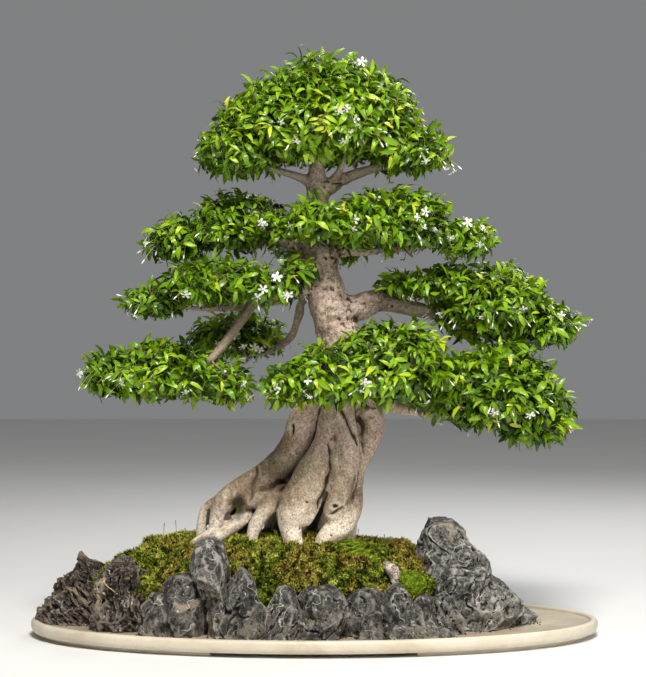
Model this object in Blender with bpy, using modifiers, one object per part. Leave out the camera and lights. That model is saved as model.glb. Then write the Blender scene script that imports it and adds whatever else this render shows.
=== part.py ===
"""Water jasmine bonsai with exposed roots, on a mossy mound ringed by rocks in an oval tray.

Metres, +Z up. The origin is under the middle of the tray, on the surface that it stands on.
+X is the right of the tree as it is shown, and -Y is its front.
"""

import math
import random

import bmesh
import bpy
from mathutils import Matrix, Vector
from mathutils import noise
from mathutils.bvhtree import BVHTree

# Driving dimensions of the tray
TRAY_HALF_LENGTH = 0.452
TRAY_HALF_WIDTH = 0.243
TRAY_TOP = 0.027
TRAY_EDGE_ROUND = 0.003
TRAY_SIDES = 36
LIP_WIDTH = 0.012
WELL_FLOOR = 0.022
FOOT_HEIGHT = 0.006
FOOT_INSET = 0.016
FOOT_WIDTH = 0.034
FOOT_GAP_HALF_LENGTH = 0.15

# Driving dimensions of the mound
MOUND_CENTRE_X = -0.09
MOUND_HALF_LENGTH = 0.262
MOUND_HALF_WIDTH = 0.152
MOUND_LEFT_POWER = 2.0
MOUND_RIGHT_POWER = 2.8
MOUND_TOP = 0.158
MOUND_EDGE = 0.088
MOUND_SIDES = 20
MOUND_RINGS = (0.35, 0.62, 0.82, 1.0)
MOUND_UNEVEN = 0.005
MOUND_WAVES = 18

# Gap that separate pieces keep where they touch
GAP = 0.0003

# How much a limb's greatest radius must be for it to get more sides
THICK_LIMB = 0.0205

# Driving dimensions of a leafy shoot and of a bloom
SHOOT_SINK = 0.014
SHOOT_STEP = 0.014
SHOOT_RISE = 0.75
SHOOT_ARCH = 2.6
RIB_HALF = 0.0018
KEEL_DEPTH = 0.0024
LEAF_LENGTH = 0.042
LEAF_WIDTH = 0.019
LEAF_LIFT = 0.003
LEAF_DROOP = 0.006
CORE_INSET = 0.038
CORE_SHARE_ACROSS = 0.78
CORE_SHARE_UP = 0.74
PLACES_TRIED = 10
TRIES_EACH = 6
SHOOT_NORMALS = (-0.1, 1.01)
TOP_NORMAL = 0.85
RIM_NORMALS = (-0.6, 0.4)
CORE_CLEARANCE = 0.004
BLOOM_RADIUS = 0.010
BLOOM_THROAT = 0.0032
PEDICEL_LENGTH = 0.050
STALK_SINK = 0.016

# How a leaf runs along its shoot and out to its side, as shares of its length
LEAF_BULGE = (0.08, 0.42)
LEAF_TIP = (0.60, 0.80)

# No leaf stands higher than this
TREE_TOP = 0.934

# How shoots and blooms are turned
OUTWARD_LEAN = 0.3
SHOOT_FALL = 0.25
SHOOT_SWING = 1.0
SHOOT_ROLL = 0.7
SHOOT_SCALES = (0.85, 1.1)
BLOOM_RISE = 0.2
BLOOM_FALLS = (-0.7, -0.1)
CORE_ROUGHNESS = (0.84, 1.1)

# Wood: each limb is a list of (x, y, z, radius), from its root outwards
TRUNK = (
    (0.049, 0.004, 0.372, 0.033), (0.047, 0.000, 0.410, 0.034), (0.042, 0.000, 0.450, 0.034),
    (0.034, 0.000, 0.490, 0.034), (0.023, 0.000, 0.528, 0.034), (0.015, 0.000, 0.566, 0.031),
    (0.007, 0.000, 0.606, 0.027), (0.002, 0.000, 0.654, 0.021), (0.004, 0.000, 0.702, 0.018),
    (0.004, 0.000, 0.750, 0.012), (0.006, 0.000, 0.809, 0.006),
)
ROOT_FLARE = (
    (0.045, 0.006, 0.392, 0.034), (0.033, 0.008, 0.334, 0.034), (0.017, 0.010, 0.286, 0.034),
    (-0.004, 0.012, 0.237, 0.034), (-0.023, 0.014, 0.194, 0.034), (-0.039, 0.014, 0.141, 0.034),
)
ROOTS = {
    "far_left": (
        (0.030, -0.004, 0.419, 0.020), (0.006, -0.006, 0.382, 0.024), (-0.014, -0.004, 0.346, 0.026),
        (-0.028, -0.004, 0.310, 0.025), (-0.049, -0.008, 0.279, 0.022), (-0.084, -0.012, 0.257, 0.017),
        (-0.118, -0.018, 0.236, 0.015), (-0.144, -0.022, 0.218, 0.014), (-0.158, -0.026, 0.196, 0.012),
        (-0.164, -0.030, 0.172, 0.009), (-0.167, -0.034, 0.130, 0.007),
    ),
    "left": (
        (-0.042, -0.006, 0.282, 0.020), (-0.068, -0.014, 0.254, 0.019), (-0.086, -0.022, 0.232, 0.017),
        (-0.099, -0.028, 0.217, 0.014), (-0.108, -0.032, 0.201, 0.010),
    ),
    "left_toes": (
        (-0.050, -0.034, 0.235, 0.009), (-0.073, -0.040, 0.227, 0.010), (-0.098, -0.040, 0.216, 0.009),
        (-0.111, -0.038, 0.200, 0.008), (-0.130, -0.044, 0.185, 0.0075), (-0.148, -0.050, 0.167, 0.007),
        (-0.164, -0.056, 0.134, 0.006),
    ),
    "outer_toe": (
        (-0.147, -0.014, 0.215, 0.010), (-0.168, -0.016, 0.209, 0.009), (-0.177, -0.018, 0.193, 0.008),
        (-0.180, -0.020, 0.171, 0.0075), (-0.182, -0.022, 0.130, 0.006),
    ),
    "middle_toe": (
        (-0.108, -0.030, 0.196, 0.008), (-0.137, -0.034, 0.181, 0.007), (-0.165, -0.036, 0.167, 0.0065),
        (-0.192, -0.038, 0.150, 0.0055), (-0.212, -0.040, 0.128, 0.004),
    ),
    "inner_toe": (
        (-0.048, -0.040, 0.227, 0.010), (-0.067, -0.046, 0.209, 0.010), (-0.081, -0.050, 0.187, 0.0095),
        (-0.092, -0.054, 0.165, 0.0085), (-0.101, -0.058, 0.126, 0.007),
    ),
    "front": (
        (0.033, -0.012, 0.387, 0.016), (0.025, -0.022, 0.351, 0.014), (0.018, -0.030, 0.315, 0.015),
        (0.004, -0.036, 0.284, 0.020), (-0.012, -0.042, 0.249, 0.025), (-0.024, -0.046, 0.221, 0.027),
        (-0.032, -0.050, 0.198, 0.022), (-0.037, -0.052, 0.179, 0.017), (-0.030, -0.056, 0.155, 0.014),
        (-0.022, -0.060, 0.122, 0.011),
    ),
    "front_ridge": (
        (0.026, -0.024, 0.388, 0.012), (0.023, -0.032, 0.344, 0.009), (0.026, -0.036, 0.304, 0.008),
        (0.028, -0.038, 0.265, 0.007),
    ),
    "knot": (
        (0.041, -0.014, 0.399, 0.018), (0.045, -0.026, 0.359, 0.018), (0.048, -0.032, 0.320, 0.019),
        (0.050, -0.034, 0.280, 0.020), (0.044, -0.036, 0.243, 0.020), (0.036, -0.036, 0.217, 0.017),
        (0.027, -0.036, 0.198, 0.012),
    ),
    "right_front": (
        (0.066, -0.006, 0.311, 0.020), (0.073, -0.012, 0.266, 0.017), (0.072, -0.016, 0.236, 0.017),
        (0.066, -0.022, 0.211, 0.018), (0.053, -0.028, 0.190, 0.018), (0.036, -0.034, 0.171, 0.017),
        (0.020, -0.040, 0.154, 0.014), (0.004, -0.046, 0.126, 0.010),
    ),
    "right": (
        (0.052, 0.008, 0.415, 0.020), (0.080, 0.008, 0.369, 0.022), (0.092, 0.008, 0.334, 0.022),
        (0.086, 0.006, 0.297, 0.021), (0.073, 0.002, 0.265, 0.018), (0.063, 0.000, 0.230, 0.016),
        (0.057, 0.000, 0.190, 0.014), (0.050, 0.000, 0.128, 0.012),
    ),
    "back_left": (
        (0.038, 0.022, 0.398, 0.022), (0.018, 0.034, 0.341, 0.022), (-0.008, 0.046, 0.283, 0.019),
        (-0.040, 0.058, 0.226, 0.016), (-0.067, 0.070, 0.175, 0.012), (-0.083, 0.078, 0.118, 0.009),
    ),
    "back_right": (
        (0.060, 0.022, 0.398, 0.020), (0.061, 0.040, 0.332, 0.020), (0.058, 0.052, 0.267, 0.018),
        (0.051, 0.064, 0.209, 0.015), (0.058, 0.074, 0.159, 0.011), (0.068, 0.080, 0.105, 0.008),
    ),
    "back_middle": (
        (0.049, 0.034, 0.373, 0.016), (0.038, 0.056, 0.307, 0.016), (0.025, 0.072, 0.241, 0.014),
        (0.012, 0.088, 0.182, 0.011), (0.005, 0.100, 0.117, 0.008),
    ),
}
BRANCHES = {
    "crown_left": (
        (0.006, 0.000, 0.713, 0.010), (-0.018, 0.000, 0.729, 0.0065), (-0.068, -0.002, 0.744, 0.005),
        (-0.119, -0.004, 0.758, 0.0035), (-0.150, -0.006, 0.768, 0.003),
    ),
    "crown_right": (
        (0.009, 0.000, 0.707, 0.012), (0.031, 0.000, 0.723, 0.009), (0.060, -0.002, 0.736, 0.007),
        (0.101, -0.004, 0.747, 0.005), (0.149, -0.006, 0.759, 0.004), (0.180, -0.006, 0.770, 0.003),
    ),
    "crown_front": (
        (0.004, 0.000, 0.742, 0.009), (0.012, -0.040, 0.770, 0.006), (0.021, -0.070, 0.785, 0.004),
        (0.027, -0.088, 0.796, 0.003),
    ),
    "crown_back": (
        (0.004, 0.000, 0.750, 0.009), (-0.001, 0.045, 0.782, 0.006), (-0.004, 0.075, 0.806, 0.004),
        (-0.008, 0.090, 0.818, 0.003),
    ),
    "left_upper": (
        (0.005, 0.006, 0.616, 0.013), (-0.039, 0.014, 0.626, 0.010), (-0.085, 0.022, 0.631, 0.007),
        (-0.140, 0.028, 0.635, 0.005), (-0.192, 0.030, 0.635, 0.0035),
    ),
    "left_mid": (
        (0.008, -0.008, 0.566, 0.013), (-0.036, -0.024, 0.540, 0.009), (-0.083, -0.034, 0.529, 0.008),
        (-0.133, -0.042, 0.521, 0.006), (-0.186, -0.046, 0.520, 0.0045), (-0.240, -0.044, 0.525, 0.003),
    ),
    "left_low": (
        (-0.002, -0.012, 0.584, 0.013), (-0.051, -0.044, 0.565, 0.010), (-0.085, -0.060, 0.541, 0.009),
        (-0.115, -0.068, 0.500, 0.008), (-0.147, -0.074, 0.456, 0.007), (-0.184, -0.076, 0.422, 0.0055),
        (-0.241, -0.072, 0.406, 0.004), (-0.304, -0.056, 0.410, 0.003),
    ),
    "back_left": (
        (0.012, 0.016, 0.551, 0.013), (-0.017, 0.038, 0.535, 0.009), (-0.027, 0.056, 0.506, 0.0075),
        (-0.041, 0.076, 0.473, 0.0065), (-0.077, 0.096, 0.450, 0.005), (-0.110, 0.112, 0.446, 0.0035),
        (-0.130, 0.122, 0.446, 0.003),
    ),
    "right_upper": (
        (0.010, 0.000, 0.601, 0.016), (0.049, -0.008, 0.611, 0.009), (0.092, -0.018, 0.612, 0.007),
        (0.139, -0.026, 0.615, 0.006), (0.193, -0.030, 0.620, 0.0045), (0.234, -0.030, 0.624, 0.003),
    ),
    "right_mid": (
        (0.032, 0.000, 0.512, 0.026), (0.072, 0.002, 0.524, 0.020), (0.111, 0.006, 0.528, 0.015),
        (0.150, 0.008, 0.523, 0.013), (0.188, 0.008, 0.514, 0.011), (0.240, 0.008, 0.504, 0.008),
        (0.298, 0.008, 0.499, 0.0055), (0.362, 0.008, 0.496, 0.003),
    ),
    "right_burl": (
        (0.066, -0.002, 0.530, 0.010), (0.086, -0.004, 0.536, 0.013), (0.104, -0.004, 0.538, 0.013),
        (0.122, -0.002, 0.532, 0.009),
    ),
    "right_low": (
        (0.052, -0.004, 0.402, 0.022), (0.095, -0.018, 0.378, 0.014), (0.136, -0.028, 0.362, 0.011),
        (0.192, -0.034, 0.355, 0.009), (0.252, -0.038, 0.353, 0.0065), (0.312, -0.040, 0.350, 0.004),
        (0.350, -0.040, 0.348, 0.003),
    ),
    "front_low": (
        (0.043, -0.008, 0.454, 0.020), (0.047, -0.050, 0.436, 0.012), (0.049, -0.084, 0.414, 0.009),
        (0.049, -0.116, 0.402, 0.0065), (0.046, -0.150, 0.396, 0.004),
    ),
    "front_low_left": (
        (0.049, -0.078, 0.418, 0.007), (0.015, -0.108, 0.402, 0.006), (-0.022, -0.118, 0.396, 0.004),
    ),
    "front_low_right": (
        (0.049, -0.078, 0.418, 0.007), (0.086, -0.108, 0.412, 0.006), (0.136, -0.124, 0.414, 0.004),
    ),
    "back_low": (
        (0.041, 0.008, 0.478, 0.020), (0.051, 0.048, 0.460, 0.012), (0.068, 0.084, 0.437, 0.009),
        (0.085, 0.116, 0.422, 0.006), (0.096, 0.150, 0.415, 0.004),
    ),
    "back_upper": (
        (0.010, 0.004, 0.590, 0.014), (0.012, 0.045, 0.606, 0.009), (0.012, 0.085, 0.616, 0.007),
        (0.010, 0.125, 0.621, 0.005), (0.008, 0.155, 0.624, 0.0035),
    ),
    "trunk_knob": (
        (0.006, -0.004, 0.582, 0.018), (-0.016, -0.008, 0.594, 0.016), (-0.032, -0.008, 0.608, 0.011),
    ),
}

# Foliage: each pad is a list of lobes (x, y, z, half length, half depth, height, depth below)
PADS = {
    "crown": (
        (0.017, 0.000, 0.796, 0.165, 0.150, 0.176, 0.060),
        (-0.119, 0.000, 0.758, 0.085, 0.110, 0.072, 0.032),
        (0.150, 0.000, 0.764, 0.082, 0.110, 0.070, 0.034),
        (0.113, -0.010, 0.820, 0.095, 0.110, 0.066, 0.050),
        (-0.090, 0.010, 0.812, 0.085, 0.105, 0.055, 0.050),
    ),
    "left_upper": (
        (-0.150, 0.050, 0.632, 0.125, 0.110, 0.080, 0.034),
        (-0.070, 0.040, 0.640, 0.060, 0.085, 0.055, 0.030),
    ),
    "left_mid": (
        (-0.146, -0.050, 0.548, 0.118, 0.120, 0.068, 0.046),
        (-0.250, -0.040, 0.528, 0.068, 0.085, 0.042, 0.030),
        (-0.058, -0.085, 0.556, 0.066, 0.080, 0.046, 0.034),
    ),
    "left_low": (
        (-0.236, -0.050, 0.404, 0.122, 0.120, 0.074, 0.034),
        (-0.322, -0.045, 0.412, 0.060, 0.090, 0.050, 0.036),
        (-0.140, -0.070, 0.396, 0.062, 0.090, 0.052, 0.032),
    ),
    "back_left": (
        (-0.111, 0.130, 0.448, 0.095, 0.085, 0.050, 0.030),
    ),
    "right_upper": (
        (0.113, -0.030, 0.630, 0.140, 0.120, 0.084, 0.034),
        (0.000, -0.070, 0.645, 0.062, 0.075, 0.042, 0.030),
        (0.238, -0.025, 0.626, 0.065, 0.085, 0.042, 0.028),
    ),
    "right_mid": (
        (0.262, 0.020, 0.514, 0.130, 0.130, 0.086, 0.040),
        (0.366, 0.015, 0.502, 0.074, 0.095, 0.056, 0.036),
        (0.168, 0.010, 0.545, 0.060, 0.090, 0.044, 0.032),
    ),
    "right_low": (
        (0.284, -0.045, 0.370, 0.120, 0.130, 0.084, 0.046),
        (0.362, -0.040, 0.350, 0.074, 0.100, 0.074, 0.050),
        (0.196, -0.050, 0.372, 0.060, 0.090, 0.050, 0.032),
    ),
    "front_low": (
        (0.055, -0.138, 0.404, 0.128, 0.096, 0.100, 0.034),
        (-0.034, -0.140, 0.400, 0.064, 0.080, 0.052, 0.032),
        (0.150, -0.140, 0.420, 0.064, 0.080, 0.066, 0.034),
    ),
    "back_low": (
        (0.095, 0.145, 0.420, 0.120, 0.092, 0.062, 0.034),
    ),
    "back_upper": (
        (0.012, 0.145, 0.622, 0.100, 0.088, 0.036, 0.028),
    ),
}

# Shoots and blooms on each pad: (shoots, blooms)
PAD_COUNTS = {
    "crown": (29, 5),
    "left_upper": (11, 3),
    "left_mid": (11, 3),
    "left_low": (11, 4),
    "back_left": (6, 2),
    "right_upper": (12, 3),
    "right_mid": (11, 4),
    "right_low": (11, 4),
    "front_low": (11, 3),
    "back_low": (6, 2),
    "back_upper": (5, 1),
}

# Front and end rocks: (front y, back y, levels), and a level is (z, left x, right x)
FRONT_ROCKS = {
    "ridge_left": (-0.080, 0.040, (
        (0.022, -0.412, -0.334), (0.058, -0.421, -0.315), (0.081, -0.412, -0.309),
        (0.104, -0.396, -0.318), (0.120, -0.380, -0.337), (0.134, -0.368, -0.354))),
    "toe_left": (-0.045, 0.020, (
        (0.022, -0.434, -0.391), (0.042, -0.436, -0.395), (0.054, -0.426, -0.404))),
    "slab_left": (-0.135, -0.020, (
        (0.022, -0.335, -0.263), (0.050, -0.339, -0.260), (0.081, -0.339, -0.254),
        (0.107, -0.332, -0.252), (0.125, -0.321, -0.256), (0.139, -0.312, -0.284))),
    "dark_small": (-0.172, -0.120, (
        (0.022, -0.259, -0.214), (0.048, -0.261, -0.214), (0.071, -0.255, -0.220),
        (0.087, -0.247, -0.232))),
    "leaning": (-0.178, -0.110, (
        (0.022, -0.215, -0.167), (0.049, -0.227, -0.162), (0.079, -0.232, -0.162),
        (0.097, -0.230, -0.166), (0.114, -0.214, -0.172))),
    "head_tall": (-0.200, -0.130, (
        (0.022, -0.157, -0.124), (0.052, -0.158, -0.125), (0.082, -0.164, -0.128),
        (0.104, -0.176, -0.128), (0.127, -0.184, -0.128), (0.149, -0.181, -0.130),
        (0.164, -0.175, -0.137), (0.172, -0.169, -0.149))),
    "front_peak": (-0.207, -0.150, (
        (0.022, -0.143, -0.077), (0.038, -0.147, -0.073), (0.061, -0.143, -0.074),
        (0.083, -0.137, -0.080), (0.105, -0.126, -0.086), (0.123, -0.116, -0.097),
        (0.132, -0.110, -0.104))),
    "front_twin": (-0.207, -0.155, (
        (0.022, -0.073, -0.021), (0.046, -0.070, -0.016), (0.068, -0.062, -0.018),
        (0.086, -0.056, -0.024), (0.101, -0.053, -0.043))),
    "front_block": (-0.216, -0.160, (
        (0.022, -0.021, 0.028), (0.040, -0.024, 0.040), (0.062, -0.021, 0.048),
        (0.081, -0.019, 0.048), (0.096, -0.018, 0.043), (0.104, -0.015, 0.030))),
    "front_low": (-0.176, -0.120, (
        (0.022, 0.041, 0.107), (0.047, 0.041, 0.107), (0.067, 0.047, 0.107),
        (0.080, 0.054, 0.103), (0.089, 0.065, 0.094))),
    "front_chip": (-0.200, -0.176, (
        (0.022, 0.071, 0.097), (0.047, 0.075, 0.102), (0.062, 0.084, 0.102))),
    "front_spire": (-0.207, -0.150, (
        (0.022, 0.100, 0.164), (0.041, 0.104, 0.164), (0.065, 0.107, 0.161),
        (0.080, 0.109, 0.151), (0.095, 0.113, 0.139), (0.104, 0.121, 0.130))),
    "wedge": (-0.130, -0.075, (
        (0.022, 0.144, 0.187), (0.049, 0.144, 0.188), (0.067, 0.150, 0.182),
        (0.079, 0.158, 0.173))),
    "tower": (-0.075, 0.040, (
        (0.022, 0.154, 0.262), (0.060, 0.151, 0.270), (0.108, 0.152, 0.276),
        (0.127, 0.156, 0.276), (0.141, 0.157, 0.271), (0.154, 0.160, 0.254),
        (0.165, 0.165, 0.240), (0.177, 0.168, 0.234), (0.193, 0.184, 0.218))),
    "shoulder": (-0.125, -0.010, (
        (0.022, 0.193, 0.303), (0.042, 0.190, 0.324), (0.057, 0.187, 0.329),
        (0.072, 0.188, 0.318), (0.088, 0.191, 0.301), (0.103, 0.196, 0.283),
        (0.115, 0.202, 0.266))),
    "front_wedge": (-0.152, -0.124, (
        (0.022, 0.173, 0.225), (0.044, 0.177, 0.222), (0.065, 0.186, 0.215),
        (0.082, 0.193, 0.207))),
    "flat_front": (-0.196, -0.156, (
        (0.022, 0.122, 0.206), (0.034, 0.128, 0.197), (0.042, 0.140, 0.176))),
    "toe_right": (-0.055, 0.020, (
        (0.022, 0.309, 0.347), (0.034, 0.307, 0.347), (0.044, 0.312, 0.329))),
}
ROCK_SIDES = 7
ROCK_TWIST = 0.22
ROCK_START = 0.6
ROCK_FOOT_ROUGHNESS = (0.92, 1.0)
ROCK_ROUGHNESS = (0.84, 1.0)
ROCK_WIDEN = 1.06
ROCK_STEP_UNEVEN = 0.003
ROCK_PEAK = 0.003
ROCK_LEAN_BACK = 0.18
ROCK_LEAST_DEPTH = 0.35
WELL_MARGIN = 0.001

# Rocks of the back half, placed by angle round the mound
BACK_ROCK_ANGLES = (8, 31, 53, 74, 95, 117, 139, 162)
BACK_ROCK_HALF_LENGTH = 0.048
BACK_ROCK_HALF_DEPTH = 0.027
BACK_ROCK_HEIGHTS = (0.070, 0.110)
BACK_ROCK_LEAN = 0.010
BACK_ROCK_WIDTHS = (0.92, 1.05)
BACK_ROCK_STEPS = ((0.0, 1.0), (0.3, 1.02), (0.6, 0.85), (0.85, 0.55), (1.0, 0.28))
BACK_RING_CENTRE_X = -0.060
BACK_RING_HALF_LENGTH = 0.297
BACK_RING_HALF_WIDTH = 0.172

# The pale stone on the moss: front, back and levels, as for the rocks
PALE_STONE = (-0.112, -0.086, (
    (0.083, 0.120, 0.143), (0.104, 0.116, 0.136), (0.116, 0.108, 0.129),
    (0.127, 0.105, 0.119)))

# Colours as (red, green, blue)
LEAF_GREEN = (0.09, 0.26, 0.03)
BARK_GREY = (0.42, 0.36, 0.33)
MARBLE_CREAM = (0.80, 0.76, 0.66)
MOSS_OLIVE = (0.13, 0.15, 0.03)
ROCK_GREY = (0.10, 0.11, 0.12)
STONE_PALE = (0.36, 0.33, 0.27)


def clear_scene():
    """Remove every object, so that the script starts from nothing."""
    for item in list(bpy.data.objects):
        bpy.data.objects.remove(item, do_unlink=True)


def make_collection(name):
    """A new collection under the scene."""
    group = bpy.data.collections.new(name)
    bpy.context.scene.collection.children.link(group)
    return group


def make_material(name, colour, roughness):
    """One Principled material."""
    material = bpy.data.materials.new(name)
    material.use_nodes = True
    shader = material.node_tree.nodes["Principled BSDF"]
    shader.inputs["Base Color"].default_value = (*colour, 1.0)
    shader.inputs["Roughness"].default_value = roughness
    shader.inputs["Metallic"].default_value = 0.0
    return material


def object_from_mesh(name, mesh, group):
    """An object of that mesh in that collection."""
    item = bpy.data.objects.new(name, mesh)
    group.objects.link(item)
    return item


def object_from_bmesh(name, shape, group):
    """Turn a bmesh into an object, with its faces pointing out."""
    bmesh.ops.recalc_face_normals(shape, faces=shape.faces)
    mesh = bpy.data.meshes.new(name)
    shape.to_mesh(mesh)
    shape.free()
    return object_from_mesh(name, mesh, group)


def remove_object(item):
    """Remove an object and its mesh."""
    mesh = item.data
    bpy.data.objects.remove(item, do_unlink=True)
    bpy.data.meshes.remove(mesh)


def apply_modifiers(item):
    """Replace an object's mesh by its evaluated mesh and clear its modifiers."""
    graph = bpy.context.evaluated_depsgraph_get()
    graph.update()
    result = bpy.data.meshes.new_from_object(item.evaluated_get(graph))
    item.modifiers.clear()
    old = item.data
    item.data = result
    bpy.data.meshes.remove(old)


def cut(item, cutter, solver="MANIFOLD"):
    """Take the cutter's space out of an object."""
    step = item.modifiers.new("cut", "BOOLEAN")
    step.operation = "DIFFERENCE"
    step.solver = solver
    step.object = cutter
    apply_modifiers(item)


def join_pieces(pieces, solver="MANIFOLD"):
    """One Boolean union of the pieces on the first of them. The rest are removed."""
    first = pieces[0]
    group = bpy.data.collections.new("to_join")
    bpy.context.scene.collection.children.link(group)
    for piece in pieces[1:]:
        group.objects.link(piece)
    step = first.modifiers.new("join", "BOOLEAN")
    step.operation = "UNION"
    step.solver = solver
    step.operand_type = "COLLECTION"
    step.collection = group
    apply_modifiers(first)
    for piece in pieces[1:]:
        remove_object(piece)
    bpy.data.collections.remove(group)
    return first


def loose_bodies(shape):
    """The sets of faces of a bmesh that hang together."""
    unseen = set(shape.faces)
    bodies = []
    while unseen:
        stack = [unseen.pop()]
        body = []
        while stack:
            face = stack.pop()
            body.append(face)
            for edge in face.edges:
                for other in edge.link_faces:
                    if other in unseen:
                        unseen.remove(other)
                        stack.append(other)
        bodies.append(body)
    return bodies


def box_size(body):
    """The diagonal of the box round some faces."""
    points = [vertex.co for face in body for vertex in face.verts]
    low = Vector([min(point[i] for point in points) for i in range(3)])
    high = Vector([max(point[i] for point in points) for i in range(3)])
    return (high - low).length


def keep_largest(item):
    """Drop loose scraps and sealed hollows, and weld points that fell together."""
    shape = bmesh.new()
    shape.from_mesh(item.data)
    bmesh.ops.triangulate(shape, faces=shape.faces)
    bodies = sorted(loose_bodies(shape), key=box_size, reverse=True)
    scraps = [face for body in bodies[1:] for face in body]
    if scraps:
        bmesh.ops.delete(shape, geom=scraps, context="FACES")
        stray = [vertex for vertex in shape.verts if not vertex.link_faces]
        bmesh.ops.delete(shape, geom=stray, context="VERTS")
    shape.to_mesh(item.data)
    shape.free()


def finish(item, name, material, smooth_angle=None):
    """Name a finished piece and give it its material and shading."""
    item.name = name
    item.data.name = name
    item.data.materials.clear()
    item.data.materials.append(material)
    if smooth_angle is not None:
        item.data.shade_smooth()
        item.data.set_sharp_from_angle(angle=math.radians(smooth_angle))
    return item


def grown_copy(item, amount, group):
    """A copy of an object whose points are moved out along their normals."""
    mesh = item.data.copy()
    shape = bmesh.new()
    shape.from_mesh(mesh)
    shape.normal_update()
    for vertex in shape.verts:
        vertex.co += vertex.normal * amount * vertex.calc_shell_factor()
    shape.to_mesh(mesh)
    shape.free()
    return object_from_mesh(item.name + "_grown", mesh, group)


def oval_disc(name, half_length, half_width, low, high, group):
    """An upright elliptical disc."""
    shape = bmesh.new()
    bmesh.ops.create_cone(
        shape, cap_ends=True, segments=TRAY_SIDES, radius1=1.0, radius2=1.0, depth=high - low)
    bmesh.ops.scale(shape, verts=shape.verts, vec=(half_length, half_width, 1.0))
    bmesh.ops.translate(shape, verts=shape.verts, vec=(0.0, 0.0, (low + high) / 2))
    return object_from_bmesh(name, shape, group)


def box(name, low, high, group):
    """A box between two corners."""
    shape = bmesh.new()
    bmesh.ops.create_cube(shape, size=1.0)
    size = [high[i] - low[i] for i in range(3)]
    middle = [(high[i] + low[i]) / 2 for i in range(3)]
    bmesh.ops.scale(shape, verts=shape.verts, vec=size)
    bmesh.ops.translate(shape, verts=shape.verts, vec=middle)
    return object_from_bmesh(name, shape, group)


def make_tray(parts, cutters, material):
    """The tray: an oval disc with a shallow well and a foot ring open at front and back."""
    tray = oval_disc("tray", TRAY_HALF_LENGTH, TRAY_HALF_WIDTH, FOOT_HEIGHT, TRAY_TOP, parts)
    edge = tray.modifiers.new("round", "BEVEL")
    edge.width = TRAY_EDGE_ROUND
    edge.segments = 1
    edge.limit_method = "ANGLE"
    apply_modifiers(tray)
    well = oval_disc(
        "well", TRAY_HALF_LENGTH - LIP_WIDTH, TRAY_HALF_WIDTH - LIP_WIDTH,
        WELL_FLOOR, TRAY_TOP + LIP_WIDTH, cutters)
    cut(tray, well, "EXACT")
    foot = oval_disc(
        "foot", TRAY_HALF_LENGTH - FOOT_INSET, TRAY_HALF_WIDTH - FOOT_INSET,
        0.0, FOOT_HEIGHT * 1.5, parts)
    inner = FOOT_INSET + FOOT_WIDTH
    hollow = oval_disc(
        "hollow", TRAY_HALF_LENGTH - inner, TRAY_HALF_WIDTH - inner,
        -FOOT_HEIGHT, FOOT_HEIGHT * 2, cutters)
    cut(foot, hollow, "EXACT")
    gap = box(
        "foot_gap", (-FOOT_GAP_HALF_LENGTH, -TRAY_HALF_WIDTH, -FOOT_HEIGHT),
        (FOOT_GAP_HALF_LENGTH, TRAY_HALF_WIDTH, FOOT_HEIGHT * 2), cutters)
    cut(foot, gap, "EXACT")
    join_pieces([tray, foot], "EXACT")
    for item in (well, hollow, gap):
        remove_object(item)
    keep_largest(tray)
    return finish(tray, "tray", material, 40)


def mound_height(share, x, y):
    """Height of the mound at a share of the way from its middle to its edge."""
    height = MOUND_TOP - (MOUND_TOP - MOUND_EDGE) * share ** 3
    return height + MOUND_UNEVEN * noise.noise(Vector((x * MOUND_WAVES, y * MOUND_WAVES, 0.3)))


def mound_edge(angle):
    """A point of the mound's outline. The right end is squarer than the left."""
    power = MOUND_RIGHT_POWER if math.cos(angle) > 0 else MOUND_LEFT_POWER
    along = math.copysign(abs(math.cos(angle)) ** (2 / power), math.cos(angle))
    across = math.copysign(abs(math.sin(angle)) ** (2 / power), math.sin(angle))
    return MOUND_HALF_LENGTH * along, MOUND_HALF_WIDTH * across


def make_mound(group):
    """The soil: rings of points that step down from the top, then a wall to the tray's floor."""
    shape = bmesh.new()
    top = shape.verts.new((MOUND_CENTRE_X, 0.0, mound_height(0.0, MOUND_CENTRE_X, 0.0)))
    rings = []
    for share in MOUND_RINGS:
        ring = []
        for i in range(MOUND_SIDES):
            along, across = mound_edge(math.tau * i / MOUND_SIDES)
            x, y = MOUND_CENTRE_X + share * along, share * across
            ring.append(shape.verts.new((x, y, mound_height(share, x, y))))
        rings.append(ring)
    floor = WELL_FLOOR + GAP
    rings.append([shape.verts.new((vertex.co.x, vertex.co.y, floor)) for vertex in rings[-1]])
    for i in range(MOUND_SIDES):
        after = (i + 1) % MOUND_SIDES
        shape.faces.new((top, rings[0][i], rings[0][after]))
        for inner, outer in zip(rings, rings[1:]):
            shape.faces.new((inner[i], outer[i], outer[after], inner[after]))
    shape.faces.new(list(reversed(rings[-1])))
    bmesh.ops.triangulate(shape, faces=shape.faces)
    return object_from_bmesh("soil_mound", shape, group)


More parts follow.
